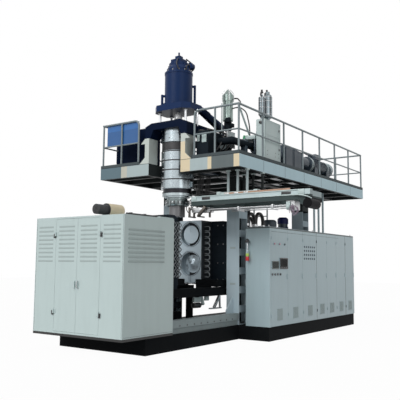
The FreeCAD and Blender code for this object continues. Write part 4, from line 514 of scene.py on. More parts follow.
class MACHINE_OT_paint(bpy.types.Operator):
    """Gives every carried-over CAD piece its finish"""

    bl_idname = "machine.paint"
    bl_label = "Paint the frame"

    def execute(self, context):
        mix_paints()
        for finish_name, nodes in FINISH_NODES.items():
            for node in nodes.split():
                dress(frame["nodes"][node], finish_name)
        return {"FINISHED"}


# ---------------------------------------- stage
FLOOR_SIZE, FLOOR_WHITE = 90, 0.97
FLOOR_TONES = ((0.52, 0.52, 0.52), (0.58, 0.58, 0.58))
SKY_LIGHT, SKY_SEEN = 0.46, 1.0
# Each lamp's name, place, the place that it points at, its strength and its angle.
STUDIO_LAMPS = (
    ("key_lamp", (-9, 1.5, 9), (0, 0, 1.5), 2.2, 0.8),
    ("fill_lamp", (-5, -12, 7), (1, 0, 1.5), 0.35, 0.6),
)
CAMERA_PLACE = (-9.8409, -7.5433, 1.5092)
CAMERA_YAW, CAMERA_PITCH, CAMERA_ROLL = 0.6155, 0.1086, math.asin(0.0087)
FOCAL_PIXELS, FRAME_PIXELS, SENSOR_WIDTH = 594.35, 400, 36


class MACHINE_OT_stage(bpy.types.Operator):
    """Sets up the floor, the studio light and the camera"""

    bl_idname = "machine.stage"
    bl_label = "Stage"

    def execute(self, context):
        scene = context.scene
        scene.view_settings.view_transform = "Standard"
        rest()
        bpy.ops.mesh.primitive_plane_add(size=FLOOR_SIZE)
        floor = bpy.context.object
        floor.name = "studio_floor"
        floor.data.materials.append(floor_finish())
        studio_world(scene)
        for settings in STUDIO_LAMPS:
            lamp(*settings)
        photo_camera(scene)
        return {"FINISHED"}


def floor_finish():
    """A pale floor; for the camera and for reflections it is white where no shadow lies."""
    shade = Shade("studio_floor_finish")
    specks = shade.noise(scale=40.0, detail=2.0)
    matt = shade.add("ShaderNodeBsdfDiffuse", {}, [], Color=shade.mix(specks, *FLOOR_TONES))
    glow = shade.add("ShaderNodeEmission", {}, [], Color=(1, 1, 1, 1), Strength=1.0)
    ray = shade.add("ShaderNodeLightPath")
    seen = ray.part("Is Camera Ray").either(ray.part("Is Glossy Ray")).either(ray.part("Is Transmission Ray"))
    both = shade.add("ShaderNodeMixShader", {}, [seen * FLOOR_WHITE, matt, glow])
    shade.add("ShaderNodeOutputMaterial", {}, [both])
    return shade.material


def studio_world(scene):
    """Even studio light, with a white surround for the camera and for reflections."""
    world = bpy.data.worlds.new("studio_world")
    world.use_nodes = True
    scene.world = world
    tree = world.node_tree
    tree.nodes.clear()
    path = tree.nodes.new("ShaderNodeLightPath")
    seen = path.outputs["Is Camera Ray"]
    for ray in ("Is Glossy Ray", "Is Transmission Ray"):
        either = tree.nodes.new("ShaderNodeMath")
        either.operation = "MAXIMUM"
        tree.links.new(seen, either.inputs[0])
        tree.links.new(path.outputs[ray], either.inputs[1])
        seen = either.outputs[0]
    strength = tree.nodes.new("ShaderNodeMapRange")
    strength.inputs["To Min"].default_value = SKY_LIGHT
    strength.inputs["To Max"].default_value = SKY_SEEN
    tree.links.new(seen, strength.inputs["Value"])
    sky = tree.nodes.new("ShaderNodeBackground")
    sky.inputs["Color"].default_value = (1, 1, 1, 1)
    tree.links.new(strength.outputs[0], sky.inputs["Strength"])
    out = tree.nodes.new("ShaderNodeOutputWorld")
    tree.links.new(sky.outputs[0], out.inputs[0])


def lamp(name, at, towards, energy, spread):
    """A sun lamp that points at a place."""
    light = bpy.data.lights.new(name, "SUN")
    light.energy = energy
    light.angle = spread
    made = bpy.data.objects.new(name, light)
    bpy.context.scene.collection.objects.link(made)
    made.location = at
    made.rotation_euler = (Vector(towards) - Vector(at)).to_track_quat("-Z", "Y").to_euler()


def photo_camera(scene):
    """The camera stands where the photograph was taken, at a standing person's eye height."""
    yaw, pitch, roll = CAMERA_YAW, CAMERA_PITCH, CAMERA_ROLL
    ahead = Vector((math.cos(yaw) * math.cos(pitch), math.sin(yaw) * math.cos(pitch), math.sin(pitch)))
    right = Vector((math.sin(yaw), -math.cos(yaw), 0))
    up = right.cross(ahead)
    tilted_right = right * math.cos(roll) + up * math.sin(roll)
    tilted_up = up * math.cos(roll) - right * math.sin(roll)
    data = bpy.data.cameras.new("photo_camera")
    data.lens = FOCAL_PIXELS / FRAME_PIXELS * SENSOR_WIDTH
    data.clip_end = 200
    camera = bpy.data.objects.new("photo_camera", data)
    scene.collection.objects.link(camera)
    axes = Matrix((tilted_right, tilted_up, -ahead)).transposed().to_4x4()
    camera.matrix_world = Matrix.Translation(CAMERA_PLACE) @ axes
    scene.camera = camera


# ---------------------------------------- modelling
AXES = {"X": (0, math.pi / 2, 0), "Y": (-math.pi / 2, 0, 0), "Z": (0, 0, 0)}
SHARP_ANGLE = 0.6
RIM_ANGLE = 1.0
WELD = 0.00005
RIM_EASE = 0.0015
WASHER_WIDTH, WASHER_SHARE = 1.25, 0.3
ORIGIN = (0, 0, 0)


def rest():
    """Leaves edit mode and selects nothing."""
    if bpy.context.object and bpy.context.object.mode != "OBJECT":
        bpy.ops.object.mode_set(mode="OBJECT")
    bpy.ops.object.select_all(action="DESELECT")


def hold(piece):
    """Selects one piece and makes it the active one."""
    rest()
    piece.select_set(True)
    bpy.context.view_layer.objects.active = piece


def settle(piece):
    """Applies a piece's place, turn and size to its mesh."""
    hold(piece)
    bpy.ops.object.transform_apply(location=True, rotation=True, scale=True)
    return piece


def ease(piece, width, segments=2, sharp=SHARP_ANGLE):
    """Bevels the sharp edges of a piece."""
    if not width:
        return piece
    hold(piece)
    bpy.ops.object.mode_set(mode="EDIT")
    bpy.ops.mesh.select_all(action="DESELECT")
    bpy.ops.mesh.edges_select_sharp(sharpness=sharp)
    bpy.ops.mesh.bevel(offset=width, segments=segments, affect="EDGES", clamp_overlap=True)
    bpy.ops.object.mode_set(mode="OBJECT")
    return piece


def slab(x, y, z, edge=None):
    """A block between two places on each axis, with eased edges."""
    rest()
    spans = [sorted(span) for span in (x, y, z)]
    middle = [(low + high) / 2 for low, high in spans]
    bpy.ops.mesh.primitive_cube_add(size=1, location=middle, scale=[high - low for low, high in spans])
    return ease(settle(bpy.context.object), sizes().edge if edge is None else edge)


def along(axis):
    """The direction of an axis."""
    return Vector([float(axis == letter) for letter in "XYZ"])


def drum(radius, at, reach, axis="Z", sides=32, edge=None):
    """A round piece from a place along an axis, with eased rims."""
    rest()
    bpy.ops.mesh.primitive_cylinder_add(
        vertices=sides, radius=radius, depth=abs(reach), location=Vector(at) + along(axis) * reach / 2,
        rotation=AXES[axis],
    )
    return ease(settle(bpy.context.object), sizes().edge if edge is None else edge, 2, RIM_ANGLE)


def chain(points):
    """A row of joined vertices, extruded one after the other; it stays in edit mode."""
    rest()
    bpy.ops.mesh.primitive_plane_add(size=1, location=ORIGIN)
    piece = bpy.context.object
    bpy.ops.object.mode_set(mode="EDIT")
    bpy.ops.mesh.select_all(action="SELECT")
    bpy.ops.mesh.merge(type="CENTER")
    bpy.ops.transform.translate(value=points[0])
    for before, after in zip(points, points[1:]):
        step = Vector(after) - Vector(before)
        bpy.ops.mesh.extrude_region_move(TRANSFORM_OT_translate={"value": step})
    return piece


def turned(profile, at=ORIGIN, axis="Z", steps=40):
    """A turned form from a profile of radius and height along its axis."""
    piece = chain([(radius, 0, height) for radius, height in profile])
    bpy.ops.mesh.select_all(action="SELECT")
    bpy.ops.mesh.spin(steps=steps, angle=math.tau, center=ORIGIN, axis=(0, 0, 1))
    bpy.ops.mesh.select_all(action="SELECT")
    bpy.ops.mesh.remove_doubles(threshold=WELD)
    bpy.ops.mesh.normals_make_consistent(inside=False)
    bpy.ops.object.mode_set(mode="OBJECT")
    piece.rotation_euler = AXES[axis]
    piece.location = at
    return settle(piece)


def facing_back(profile, at, axis, steps):
    """A turned form whose heights run against its axis."""
    return turn_about(turned(profile, at, axis, steps), math.pi, "Z", at)


def pipe(points, radius, bend=0.0, sides=3, steps=5):
    """A bent pipe along a row of points, with rounded corners and closed ends."""
    chain(points)
    if bend and len(points) > 2:
        bpy.ops.mesh.select_all(action="SELECT")
        bpy.ops.mesh.bevel(offset=bend, segments=steps, affect="VERTICES", clamp_overlap=True)
    bpy.ops.object.mode_set(mode="OBJECT")
    bpy.ops.object.convert(target="CURVE")
    curve = bpy.context.object.data
    curve.dimensions = "3D"
    curve.bevel_depth = radius
    curve.bevel_resolution = sides
    curve.use_fill_caps = True
    bpy.ops.object.convert(target="MESH")
    return settle(bpy.context.object)


def shift_mesh(piece, step):
    """Moves a piece's mesh by a step."""
    piece.data.transform(Matrix.Translation(step))


def about(angle, axis, centre):
    """The turn by an angle about an axis through a place."""
    move = Matrix.Translation(centre)
    return move @ Matrix.Rotation(angle, 4, axis) @ move.inverted()


def turn_about(piece, angle, axis, centre):
    """Turns a piece's mesh about an axis through a place."""
    piece.data.transform(about(angle, axis, centre))
    return piece


def repeated(piece, moves):
    """The piece's copies, one for each move, joined to one; the piece itself goes."""
    made = []
    for move in moves:
        twin = piece.copy()
        twin.data = piece.data.copy()
        bpy.context.scene.collection.objects.link(twin)
        twin.data.transform(move)
        made.append(twin)
    bpy.data.objects.remove(piece)
    return join(made)


def copies(piece, steps):
    """Copies of a piece, each moved by a step."""
    return repeated(piece, [Matrix.Translation(step) for step in steps])


def ring_of(piece, count, first=0.0, axis="Z", centre=ORIGIN):
    """Copies of a piece round an axis."""
    return repeated(piece, [about(first + math.tau * i / count, axis, centre) for i in range(count)])


def join(pieces):
    """Joins pieces to the first of them."""
    hold(pieces[0])
    for piece in pieces:
        piece.select_set(True)
    if len(pieces) > 1:
        bpy.ops.object.join()
    return bpy.context.object


def dress(piece, finish_name):
    """Gives a piece its only finish."""
    piece.data.materials.clear()
    piece.data.materials.append(FINISH[finish_name])


def finish(pieces, name, finish_name, body="machine", stands_for=()):
    """Joins, names, smooths and paints a piece, and lets it ride on its body."""
    piece = join(pieces if isinstance(pieces, list) else [pieces])
    piece.name = name
    piece.data.name = name
    dress(piece, finish_name)
    bpy.ops.object.shade_smooth_by_angle(angle=SHARP_ANGLE)
    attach(piece, body)
    if stands_for:
        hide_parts(*stands_for)


def bolt(at, axis, radius, reach):
    """A washer and a hexagonal head; the reach points away from what it holds."""
    thick = reach * WASHER_SHARE
    washer = drum(radius * WASHER_WIDTH, at, thick, axis, 16, 0.0008)
    head = drum(radius, Vector(at) + along(axis) * thick, reach - thick, axis, 6, 0.0012)
    return join([washer, head])


def plate_with_rim(x, y, z, face, rim, depth):
    """A plate whose face, named by its sign and axis, is set back inside a rim."""
    piece = slab(x, y, z, 0)
    axis = "XYZ".index(face[1])
    sign = 1 if face[0] == "+" else -1
    hold(piece)
    bpy.ops.object.mode_set(mode="EDIT")
    bpy.ops.mesh.select_all(action="DESELECT")
    bpy.ops.object.mode_set(mode="OBJECT")
    for side in piece.data.polygons:
        side.select = side.normal[axis] * sign > 0.9
    bpy.ops.object.mode_set(mode="EDIT")
    bpy.ops.mesh.select_mode(type="FACE")
    bpy.ops.mesh.inset(thickness=rim)
    bpy.ops.mesh.extrude_region_move(TRANSFORM_OT_translate={"value": along(face[1]) * -sign * depth})
    bpy.ops.mesh.select_mode(type="VERT")
    bpy.ops.object.mode_set(mode="OBJECT")
    return ease(piece, RIM_EASE, 1)


def strut(start, end, width, height, edge=0.002):
    """A bar of rectangular section between two places."""
    way = Vector(end) - Vector(start)
    piece = slab((-width / 2, width / 2), (-height / 2, height / 2), (0, way.length), edge)
    turn = way.to_track_quat("Z", "Y").to_matrix().to_4x4()
    piece.data.transform(Matrix.Translation(start) @ turn)
    return piece


# ---------------------------------------- head and tower
BAND_COUNT = 4
BAND_PITCH = 0.197
BAND_RADIUS = 0.345
BAND_SEAT = 0.317
BAND_SHELL = ((BAND_SEAT, 0.006), (BAND_RADIUS, 0.007), (BAND_RADIUS, 0.178), (BAND_SEAT, 0.179))
HOOP_RADIUS = BAND_RADIUS + 0.002
BAND_HOOP = ((BAND_SEAT, 0.180), (HOOP_RADIUS, 0.181), (HOOP_RADIUS, 0.201), (BAND_SEAT, 0.202))
LUG_RISES = (0.025, 0.161)
LUG_ANGLE = math.radians(158)
BARREL_RADIUS = 0.340
BARREL_LOW = ((0.29, 0.008), (0.343, 0.010))
BARREL_MIDDLE = ((0.343, 3.866), (0.29, 3.868))
BARREL_TOP = ((0.29, 4.04), (BARREL_RADIUS, 4.045), (BARREL_RADIUS, 4.20), (0.332, 4.205), (0.332, 4.215),
              (BARREL_RADIUS, 4.22), (BARREL_RADIUS, 4.38), (0.29, 4.39))
HEAD_COLLAR = ((0.28, 3.874), (0.334, 3.876), (0.334, 4.032), (0.28, 4.034))
DIE_RADIUS = 0.247
DIE_SHELL = ((0.212, 2.722), (0.242, 2.724), (DIE_RADIUS, 2.732), (DIE_RADIUS, 2.836), (0.242, 2.843),
             (0.212, 2.845))
DIE_SCREW_HEIGHT = 2.785
FLANGE_SCREWS = ((4.12, 0.1), (4.31, 0.4))


class MACHINE_OT_head(bpy.types.Operator):
    """Band shells, hoops, screws and cables of the heated head"""

    bl_idname = "machine.head"
    bl_label = "Head detail"

    def execute(self, context):
        (_, _, low), (_, _, top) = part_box("heater_bands")
        rises = [low + BAND_PITCH * i for i in range(BAND_COUNT)]
        shells = [turned(BAND_SHELL, (0, 0, z), steps=56) for z in rises]
        hoops = [turned(BAND_HOOP, (0, 0, z), steps=48) for z in rises]
        shells.append(turned([*((r, top + z) for r, z in BARREL_LOW), *BARREL_MIDDLE], steps=56))
        shells.append(turned(BARREL_TOP, steps=56))
        finish(turned(HEAD_COLLAR, steps=56), "head_collar", "black_plastic")
        finish(shells, "band_shells", "band")
        finish(hoops, "band_hoops", "black_plastic")
        finish(turned(DIE_SHELL, steps=56), "die_shell", "die")
        slot_bar = slab((0.240, 0.2495), (-0.011, 0.011), (2.745, 2.825), 0.002)
        finish(ring_of(slot_bar, 20, 0.1), "die_slots", "black_plastic")
        finish([self.lug(z + rise) for z in rises for rise in LUG_RISES], "band_lugs", "steel")
        screw = bolt((DIE_RADIUS, 0, DIE_SCREW_HEIGHT), "X", 0.013, 0.018)
        finish(ring_of(screw, 10, 0.257), "die_centring_screws", "steel")
        rows = [ring_of(bolt((BARREL_RADIUS, 0, z), "X", 0.012, 0.012), 10, first)
                for z, first in FLANGE_SCREWS]
        finish(rows, "head_flange_screws", "dark_steel")
        self.cables(rises)
        return {"FINISHED"}

    def lug(self, height):
        """The screwed lug that closes a band, on the side of the clamp housing."""
        lug = slab((BAND_RADIUS, BAND_RADIUS + 0.018), (-0.02, 0.02), (-0.010, 0.010), 0.002)
        lug = join([lug, bolt((BAND_RADIUS + 0.009, 0.02, 0), "Y", 0.007, 0.02)])
        shift_mesh(lug, (0, 0, height))
        return turn_about(lug, LUG_ANGLE, "Z", (0, 0, 0))

    def cables(self, rises):
        """The bands' cables run down beside the head to the die and up to the platform."""
        radius = sizes().cable
        runs = []
        for i, rise in enumerate(rises):
            z, off = rise + 0.09, 0.035 * i
            runs.append(pipe([
                (0.045 + off, -0.375, z), (0.07 + off, -0.44, z - 0.05), (0.06 + off, -0.47, 2.98 + 0.02 * i),
                (0.03 + off, -0.41, 2.86), (-0.02, -0.30 - off * 0.5, 2.80 - 0.03 * i),
            ], radius, 0.06))
        for i in range(3):
            x = 0.16 + 0.05 * i
            runs.append(pipe([
                (x, -0.33, 2.84 + 0.1 * i), (x + 0.05, -0.42, 3.0), (x + 0.03, -0.47, 3.35),
                (x + 0.02, -0.45, 3.60),
            ], radius * 1.3, 0.06))
        for i in range(4):
            x, y = 0.30 + 0.05 * i, -0.02 - 0.10 * i
            runs.append(pipe([
                (0.06 + 0.03 * i, -0.36 - 0.01 * i, 2.88), (x, y, 2.80), (x + 0.03, y + 0.02, 2.66),
                (x + 0.10, y - 0.03 * (i % 2), 2.60 - 0.02 * (i % 3)), (x + 0.16, y - 0.02, 2.72),
                (0.40 + 0.05 * i, -0.42, 2.95), (0.42 + 0.05 * i, -0.45, 3.36),
            ], radius * (1.0 + 0.35 * (i % 2)), 0.05))
        finish(runs, "head_cables", "rubber")


ROD_X, ROD_Y = 0.194, 0.337
ROD_NUT_HEIGHTS = (4.4555, 4.695)
CYLINDER_RINGS = (
    ((0.2955, 4.86), (0.306, 4.865), (0.306, 4.895), (0.2955, 4.90)),
    ((0.2955, 5.53), (0.304, 5.535), (0.304, 5.58), (0.2955, 5.584)),
)
# Route, radius and bend of each hose on the cap.
CAP_HOSES = (
    (((0.10, -0.25, 5.60), (0.17, -0.29, 5.68), (0.24, -0.22, 5.80), (0.12, -0.10, 5.92)), 0.014, 0.05),
    (((-0.22, -0.16, 5.60), (-0.27, -0.14, 5.70), (-0.20, -0.10, 5.82), (-0.08, -0.05, 5.90)), 0.012, 0.05),
    (((-0.10, -0.27, 5.60), (-0.14, -0.30, 5.66), (-0.02, -0.30, 5.74), (0.06, -0.24, 5.66)), 0.012, 0.04),
)


class MACHINE_OT_tower(bpy.types.Operator):
    """Rod nuts, bolts, rings and pipes of the tower above the head"""

    bl_idname = "machine.tower"
    bl_label = "Tower detail"

    def execute(self, context):
        nuts = [drum(0.042, (x, y, z), 0.024, "Z", 6, 0.002)
                for x in (-ROD_X, ROD_X) for y in (-ROD_Y, ROD_Y) for z in ROD_NUT_HEIGHTS]
        finish(nuts, "tower_rod_nuts", "steel")
        finish(ring_of(bolt((0.33, 0, 4.85), "Z", 0.02, 0.03), 10, 0.3), "cylinder_bolts", "navy")
        finish(ring_of(bolt((0.255, 0, 5.5875), "Z", 0.017, 0.035), 12, 0.13), "cap_bolts", "dark_steel")
        finish([turned(profile, steps=48) for profile in CYLINDER_RINGS], "cylinder_rings", "navy")
        finish([pipe(*hose) for hose in CAP_HOSES], "cap_hoses", "rubber")
        joint = slab((0.255, 0.53), (-0.465, -0.345), (4.69, 4.80), 0.008)
        turn_about(joint, math.radians(14), "Y", (0.39, -0.4, 4.74))
        arm = strut((0.24, -0.405, 4.765), (1.085, -0.405, 4.475), 0.10, 0.105, 0.006)
        finish([joint, arm], "stay_arm", "navy_dark")
        uprights = [drum(0.018, (0, y, 4.37), 0.36, "Z", 20, 0.002) for y in (-0.50, -0.43)]
        finish(uprights, "tower_oil_pipes", "bright")
        corners = [bolt((x, y, 4.33), "Z", 0.024, 0.035) for x in (-0.36, 0.36) for y in (-0.50, 0.50)]
        finish(corners, "yoke_bolts", "dark_steel")
        return {"FINISHED"}


# ---------------------------------------- platform
DECK_RISE = 0.062
MANIFOLD_X, MANIFOLD_Y, MANIFOLD_TOP = (-0.33, 0.55), (-1.0, -0.72), 4.17
MANIFOLD_RIBS = (-0.1, 0.12, 0.33)
PUMP_HEIGHT = 3.93
PUMP_FLANGE = ((0, 0), (0.092, 0), (0.092, 0.02), (0.07, 0.03), (0.07, 0.07), (0.03, 0.085), (0, 0.085))
SUCTION_HOSES = (
    (((1.09, -0.63, 5.19), (1.16, -0.76, 5.20), (0.90, -1.0, 5.02), (0.60, -1.16, 4.86),
      (0.56, -1.18, 4.80)), 0.016, 0.10),
    (((1.06, -0.66, 4.95), (1.10, -0.85, 4.98), (0.98, -1.10, 4.80), (0.95, -1.20, 4.45),
      (0.95, -1.20, 4.21)), 0.014, 0.10),
)
FEED_TUBE = ((0.56, -1.18, 4.81), (0.80, -1.18, 4.50), (0.985, -1.18, 4.26), (0.985, -1.18, 4.21))


class MACHINE_OT_deck_machines(bpy.types.Operator):
    """The oil manifold, valves and pipes that stand on the platform round the melt pipe"""

    bl_idname = "machine.deck_machines"
    bl_label = "Deck machines"

    def execute(self, context):
        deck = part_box("deck_plate")[0][2] + DECK_RISE
        end, (front, back) = MANIFOLD_X[0], MANIFOLD_Y
        block = plate_with_rim(MANIFOLD_X, MANIFOLD_Y, (deck, MANIFOLD_TOP), "-Y", 0.03, 0.012)
        ribs = [slab((x, x + 0.02), (front - 0.012, front + 0.02), (deck + 0.02, MANIFOLD_TOP - 0.03))
                for x in MANIFOLD_RIBS]
        finish([block, *ribs], "oil_manifold", "platen")
        plate = plate_with_rim((end - 0.014, end), (-0.965, -0.855), (3.93, 4.10), "-X", 0.012, 0.005)
        small = plate_with_rim((end - 0.012, end), (-0.80, -0.74), (3.96, 4.11), "-X", 0.008, 0.004)
        finish([plate, small], "manifold_gauges", "pale")
        flange = facing_back(PUMP_FLANGE, (0.16, front, PUMP_HEIGHT), "Y", 32)
        screw = bolt((0.24, front - 0.02, PUMP_HEIGHT), "Y", 0.008, -0.012)
        screws = ring_of(screw, 8, axis="Y", centre=(0.16, front, PUMP_HEIGHT))
        finish([flange, screws], "pump_flange", "grey")
        bracket = plate_with_rim((0.30, 0.60), (front - 0.05, front - 0.03), (3.93, 4.27), "-Y", 0.01, 0.003)
        knobs = [drum(0.016, (x, front - 0.047, z), -0.012, "Y", 12, 0.001)
                 for z in (4.02, 4.10, 4.18) for x in (0.36, 0.45, 0.54)]
        finish([bracket, *knobs], "valve_bracket", "steel")
        hoses = []
        for i in range(4):
            x = -0.05 + 0.14 * i
            hoses.append(pipe([
                (x, front - 0.005, 3.80), (x, front - 0.07, 3.84), (x + 0.10, front - 0.10, 4.02),
                (x + 0.22, front - 0.06, 4.12), (x + 0.24, front + 0.10, 4.14),
            ], 0.016, 0.07))
        bows = ((front + 0.03, (0.20, front + 0.02, 4.22)), (back - 0.05, (0.10, back - 0.03, 4.24)))
        for y, middle in bows:
            hoses.append(pipe([(-0.30, y, 4.19), middle, (0.52, y, 4.19)], 0.022, 0.1))
        finish(hoses, "manifold_hoses", "rubber")
        low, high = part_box("accumulator_cabinet")
        span = (low[0] + 0.05, high[0] - 0.05)
        side = slab(span, (high[1], high[1] + 0.19), (low[2] + 0.16, high[2] - 0.06), 0.05)
        tray = slab(span, (high[1], high[1] + 0.10), (low[2] + 0.02, low[2] + 0.165), 0.02)
        finish([side, tray], "accumulator_bottles", "navy_dark")
        self.extruder_mouth(deck)
        return {"FINISHED"}

    def extruder_mouth(self, deck):
        """The valve shelf, the column and the hoses beside the mouth of the extruder."""
        finish(slab((0.76, 1.19), (-1.44, -1.14), (4.135, 4.215), 0.006), "valve_shelf", "pale")
        legs = [slab((x, x + 0.03), (y, y + 0.03), (deck, 4.14))
                for x in (0.78, 1.14) for y in (-1.43, -1.18)]
        finish([slab((0.82, 1.13), (-1.40, -1.20), (deck, 3.86), 0.006), *legs], "valve_shelf_legs", "dark")
        finish(slab((0.50, 0.60), (-1.36, -1.24), (deck, 4.10), 0.006), "valve_column", "dark")
        handle = pipe([(0.52, -1.30, 4.16), (0.58, -1.37, 4.17)], 0.007)
        body = drum(0.026, (0.55, -1.30, 4.10), 0.05, "Z", 16)
        nut = drum(0.02, (0.55, -1.30, 4.15), 0.03, "Z", 6)
        finish([handle, body, nut], "green_valves", "green")
        finish(pipe(FEED_TUBE, 0.021, 0.03), "feed_tube", "pale")
        finish([pipe(*hose) for hose in SUCTION_HOSES], "suction_hoses", "rubber")


# Each loader's axis (X and Y), radius, and the foot and top of its drum.
LOADERS = ((1.02, -1.578, 0.111, 4.65, 5.05), (0.765, -1.60, 0.058, 4.61, 4.99))
LOADER_ROD_ANGLES = (2.1, 3.5, 4.4, 5.6)
LOADER_JACKET = ((0.08, 4.60), (0.112, 4.605), (0.114, 4.63), (0.111, 4.65), (0.111, 4.98), (0.114, 5.0),
                 (0.106, 5.05), (0.08, 5.07))
HOPPER_X, HOPPER_Y = 1.02, -0.60
HOPPER_COLLAR = ((0.08, 0), (0.088, 0.003), (0.088, 0.02), (0.08, 0.023))
HOPPER_COLLAR_HEIGHTS = (4.80, 4.88, 5.06)
HOPPER_JACKET = ((0.079, 4.66), (0.113, 4.67), (0.116, 4.70), (0.112, 4.73), (0.112, 5.09), (0.116, 5.12),
                 (0.079, 5.13))
HOPPER_CLAMP_ANGLES = (2.4, 3.9, 5.4)
HOPPER_CLAMP = ((0.13, 5.12), (0.13, 5.30), (0.05, 5.385))
HOPPER_MOTOR = ((0.0, 4.42), (0.045, 4.42), (0.086, 4.47), (0.086, 4.63), (0.081, 4.655))
FEEDER_X, FEEDER_Y, FEEDER_LOWER, FEEDER_TOP = (0.705, 1.395), (-1.70, -1.50), (3.70, 4.19), 4.52
FEEDER_GAUGE = ((0, 0), (0.03, 0), (0.034, 0.006), (0.034, 0.016), (0.024, 0.022), (0, 0.022))


class MACHINE_OT_feed(bpy.types.Operator):
    """Rings, rods, knobs and latches of the hopper, the loaders and the feeder"""

    bl_idname = "machine.feed"
    bl_label = "Feed detail"

    def execute(self, context):
        self.loaders()
        self.hopper()
        self.feeder()
        return {"FINISHED"}

    def loaders(self):
        rings, knobs, rods = [], [], []
        for x, y, radius, low, high in LOADERS:
            profile = [(radius, 0), (radius + 0.005, 0.002), (radius + 0.005, 0.010), (radius, 0.012)]
            rings += [turned(profile, (x, y, z), steps=28)
                      for z in (low + 0.02, low + 0.16, high - 0.10, high - 0.01)]
            out = radius + 0.006
            rods += [drum(0.006, (x + out * math.cos(a), y + out * math.sin(a), low), high - low, "Z", 10, 0)
                     for a in LOADER_ROD_ANGLES]
            knobs += [drum(0.022, (x, y, high + 0.12), 0.045, "Z", 20),
                      drum(0.032, (x, y, high + 0.09), 0.03, "Z", 20),
                      drum(0.018, (x - radius * 0.7, y, high + 0.03), 0.05, "Z", 16)]
        finish(rings, "loader_rings", "steel")
        finish(rods, "loader_rods", "dark_steel")
        finish(knobs, "loader_knobs", "black_plastic")
        finish(turned(LOADER_JACKET, (*LOADERS[0][:2], 0), steps=36), "loader_jacket", "loader")

    def hopper(self):
        x, y = HOPPER_X, HOPPER_Y
        collars = [turned(HOPPER_COLLAR, (x, y, z), steps=28) for z in HOPPER_COLLAR_HEIGHTS]
        finish([turned(HOPPER_JACKET, (x, y, 0), steps=36), *collars], "hopper_jacket", "hopper")
        clamps = [pipe([(x + r * math.cos(a), y + r * math.sin(a), z) for r, z in HOPPER_CLAMP], 0.007, 0.02)
                  for a in HOPPER_CLAMP_ANGLES]
        finish(clamps, "hopper_clamps", "steel")
        boxes = [slab((x - 0.13, x - 0.06), (y - 0.12, y - 0.02), (4.62, 4.72)),
                 slab((x - 0.05, x + 0.05), (y - 0.14, y - 0.07), (4.52, 4.60))]
        finish([turned(HOPPER_MOTOR, (x, y, 0), steps=28), *boxes], "hopper_motor", "platen")
        finish(pipe([(0.775, y, 3.67), (0.775, y, 5.02)], 0.013), "hopper_side_pipe", "grey")

    def feeder(self):
        (start, end), (front, back) = FEEDER_X, FEEDER_Y
        finish(facing_back(FEEDER_GAUGE, (start, -1.605, 4.45), "X", 28), "feeder_gauge", "black_plastic")
        face, wide, deep = (front - 0.006, front), (start + 0.02, end - 0.02), (front + 0.02, back - 0.02)
        panels = [
            plate_with_rim(wide, face, (4.20, FEEDER_TOP - 0.02), "-Y", 0.012, 0.003),
            plate_with_rim(wide, face, FEEDER_LOWER, "-Y", 0.012, 0.003),
            plate_with_rim((start - 0.005, start), deep, FEEDER_LOWER, "-X", 0.01, 0.002),
        ]
        finish(panels, "feeder_panels", "pale")
        latches = [slab((end - 0.09, end - 0.06), (front - 0.014, front - 0.002), (z, z + 0.05))
                   for z in (3.93, 4.34)]
        latches += [drum(0.008, (x, front - 0.004, z), -0.006, "Y", 10, 0)
                    for x in (0.80, 1.15, 1.30) for z in (3.78, 3.86)]
        finish(latches, "feeder_latches", "dark_steel")


DRIVE_Y, DRIVE_Z = -1.30, 4.0
# Place along X, radius and width of each hoop on the extruder's motor.
MOTOR_HOOPS = ((3.50, 0.192, 0.03), (3.58, 0.185, 0.025), (4.43, 0.188, 0.04), (4.66, 0.192, 0.03))
GEARBOX_FACE = -1.482
GEARBOX_COVERS = ((2.08, 2.46), (2.50, 2.92))


class MACHINE_OT_extruder(bpy.types.Operator):
    """Fins, hoops, bolts and covers of the extruder's drive"""

    bl_idname = "machine.extruder"
    bl_label = "Extruder detail"

    def execute(self, context):
        y, z = DRIVE_Y, DRIVE_Z
        fins = ring_of(slab((3.62, 4.42), (-0.004, 0.004), (0.163, 0.182), 0.001), 30, 0.05, "X")
        shift_mesh(fins, (0, y, z))
        finish(fins, "motor_fins", "dark")
        hoops = [turned([(0.15, 0), (radius, 0), (radius, wide), (0.15, wide)], (x, y, z), "X")
                 for x, radius, wide in MOTOR_HOOPS]
        finish(hoops, "motor_hoops", "grey")
        screws = [ring_of(bolt((x, y, z + out), "X", 0.012, 0.02), 8, axis="X", centre=(x, y, z))
                  for x, out in ((4.69, 0.165), (3.36, 0.125))]
        finish(screws, "motor_screws", "dark_steel")
        box = plate_with_rim((3.85, 4.15), (y - 0.11, y + 0.11), (4.17, 4.30), "+Z", 0.012, 0.004)
        route = [(3.85, y, 4.24), (3.70, y, 4.27), (3.55, y - 0.02, 4.24), (3.20, y - 0.05, 4.26)]
        finish([box, pipe(route, 0.018, 0.06)], "motor_terminal_box", "dark")
        covers = [plate_with_rim(span, (GEARBOX_FACE, -1.470), (3.75, 4.18), "-Y", 0.02, 0.006)
                  for span in GEARBOX_COVERS]
        screws = [bolt((x, GEARBOX_FACE, height), "Y", 0.008, -0.01) for low, high in GEARBOX_COVERS
                  for x in (low + 0.01, high - 0.01) for height in (3.76, 4.17)]
        finish([*covers, *screws], "gearbox_covers", "dark")
        return {"FINISHED"}


SIDE_SEAM = (1.799, 1.802)
FRINGE = (3.37, 3.59)
POST_PITCH = 6.4955 / 7
PANEL_PITCH = 6.5255 / 7


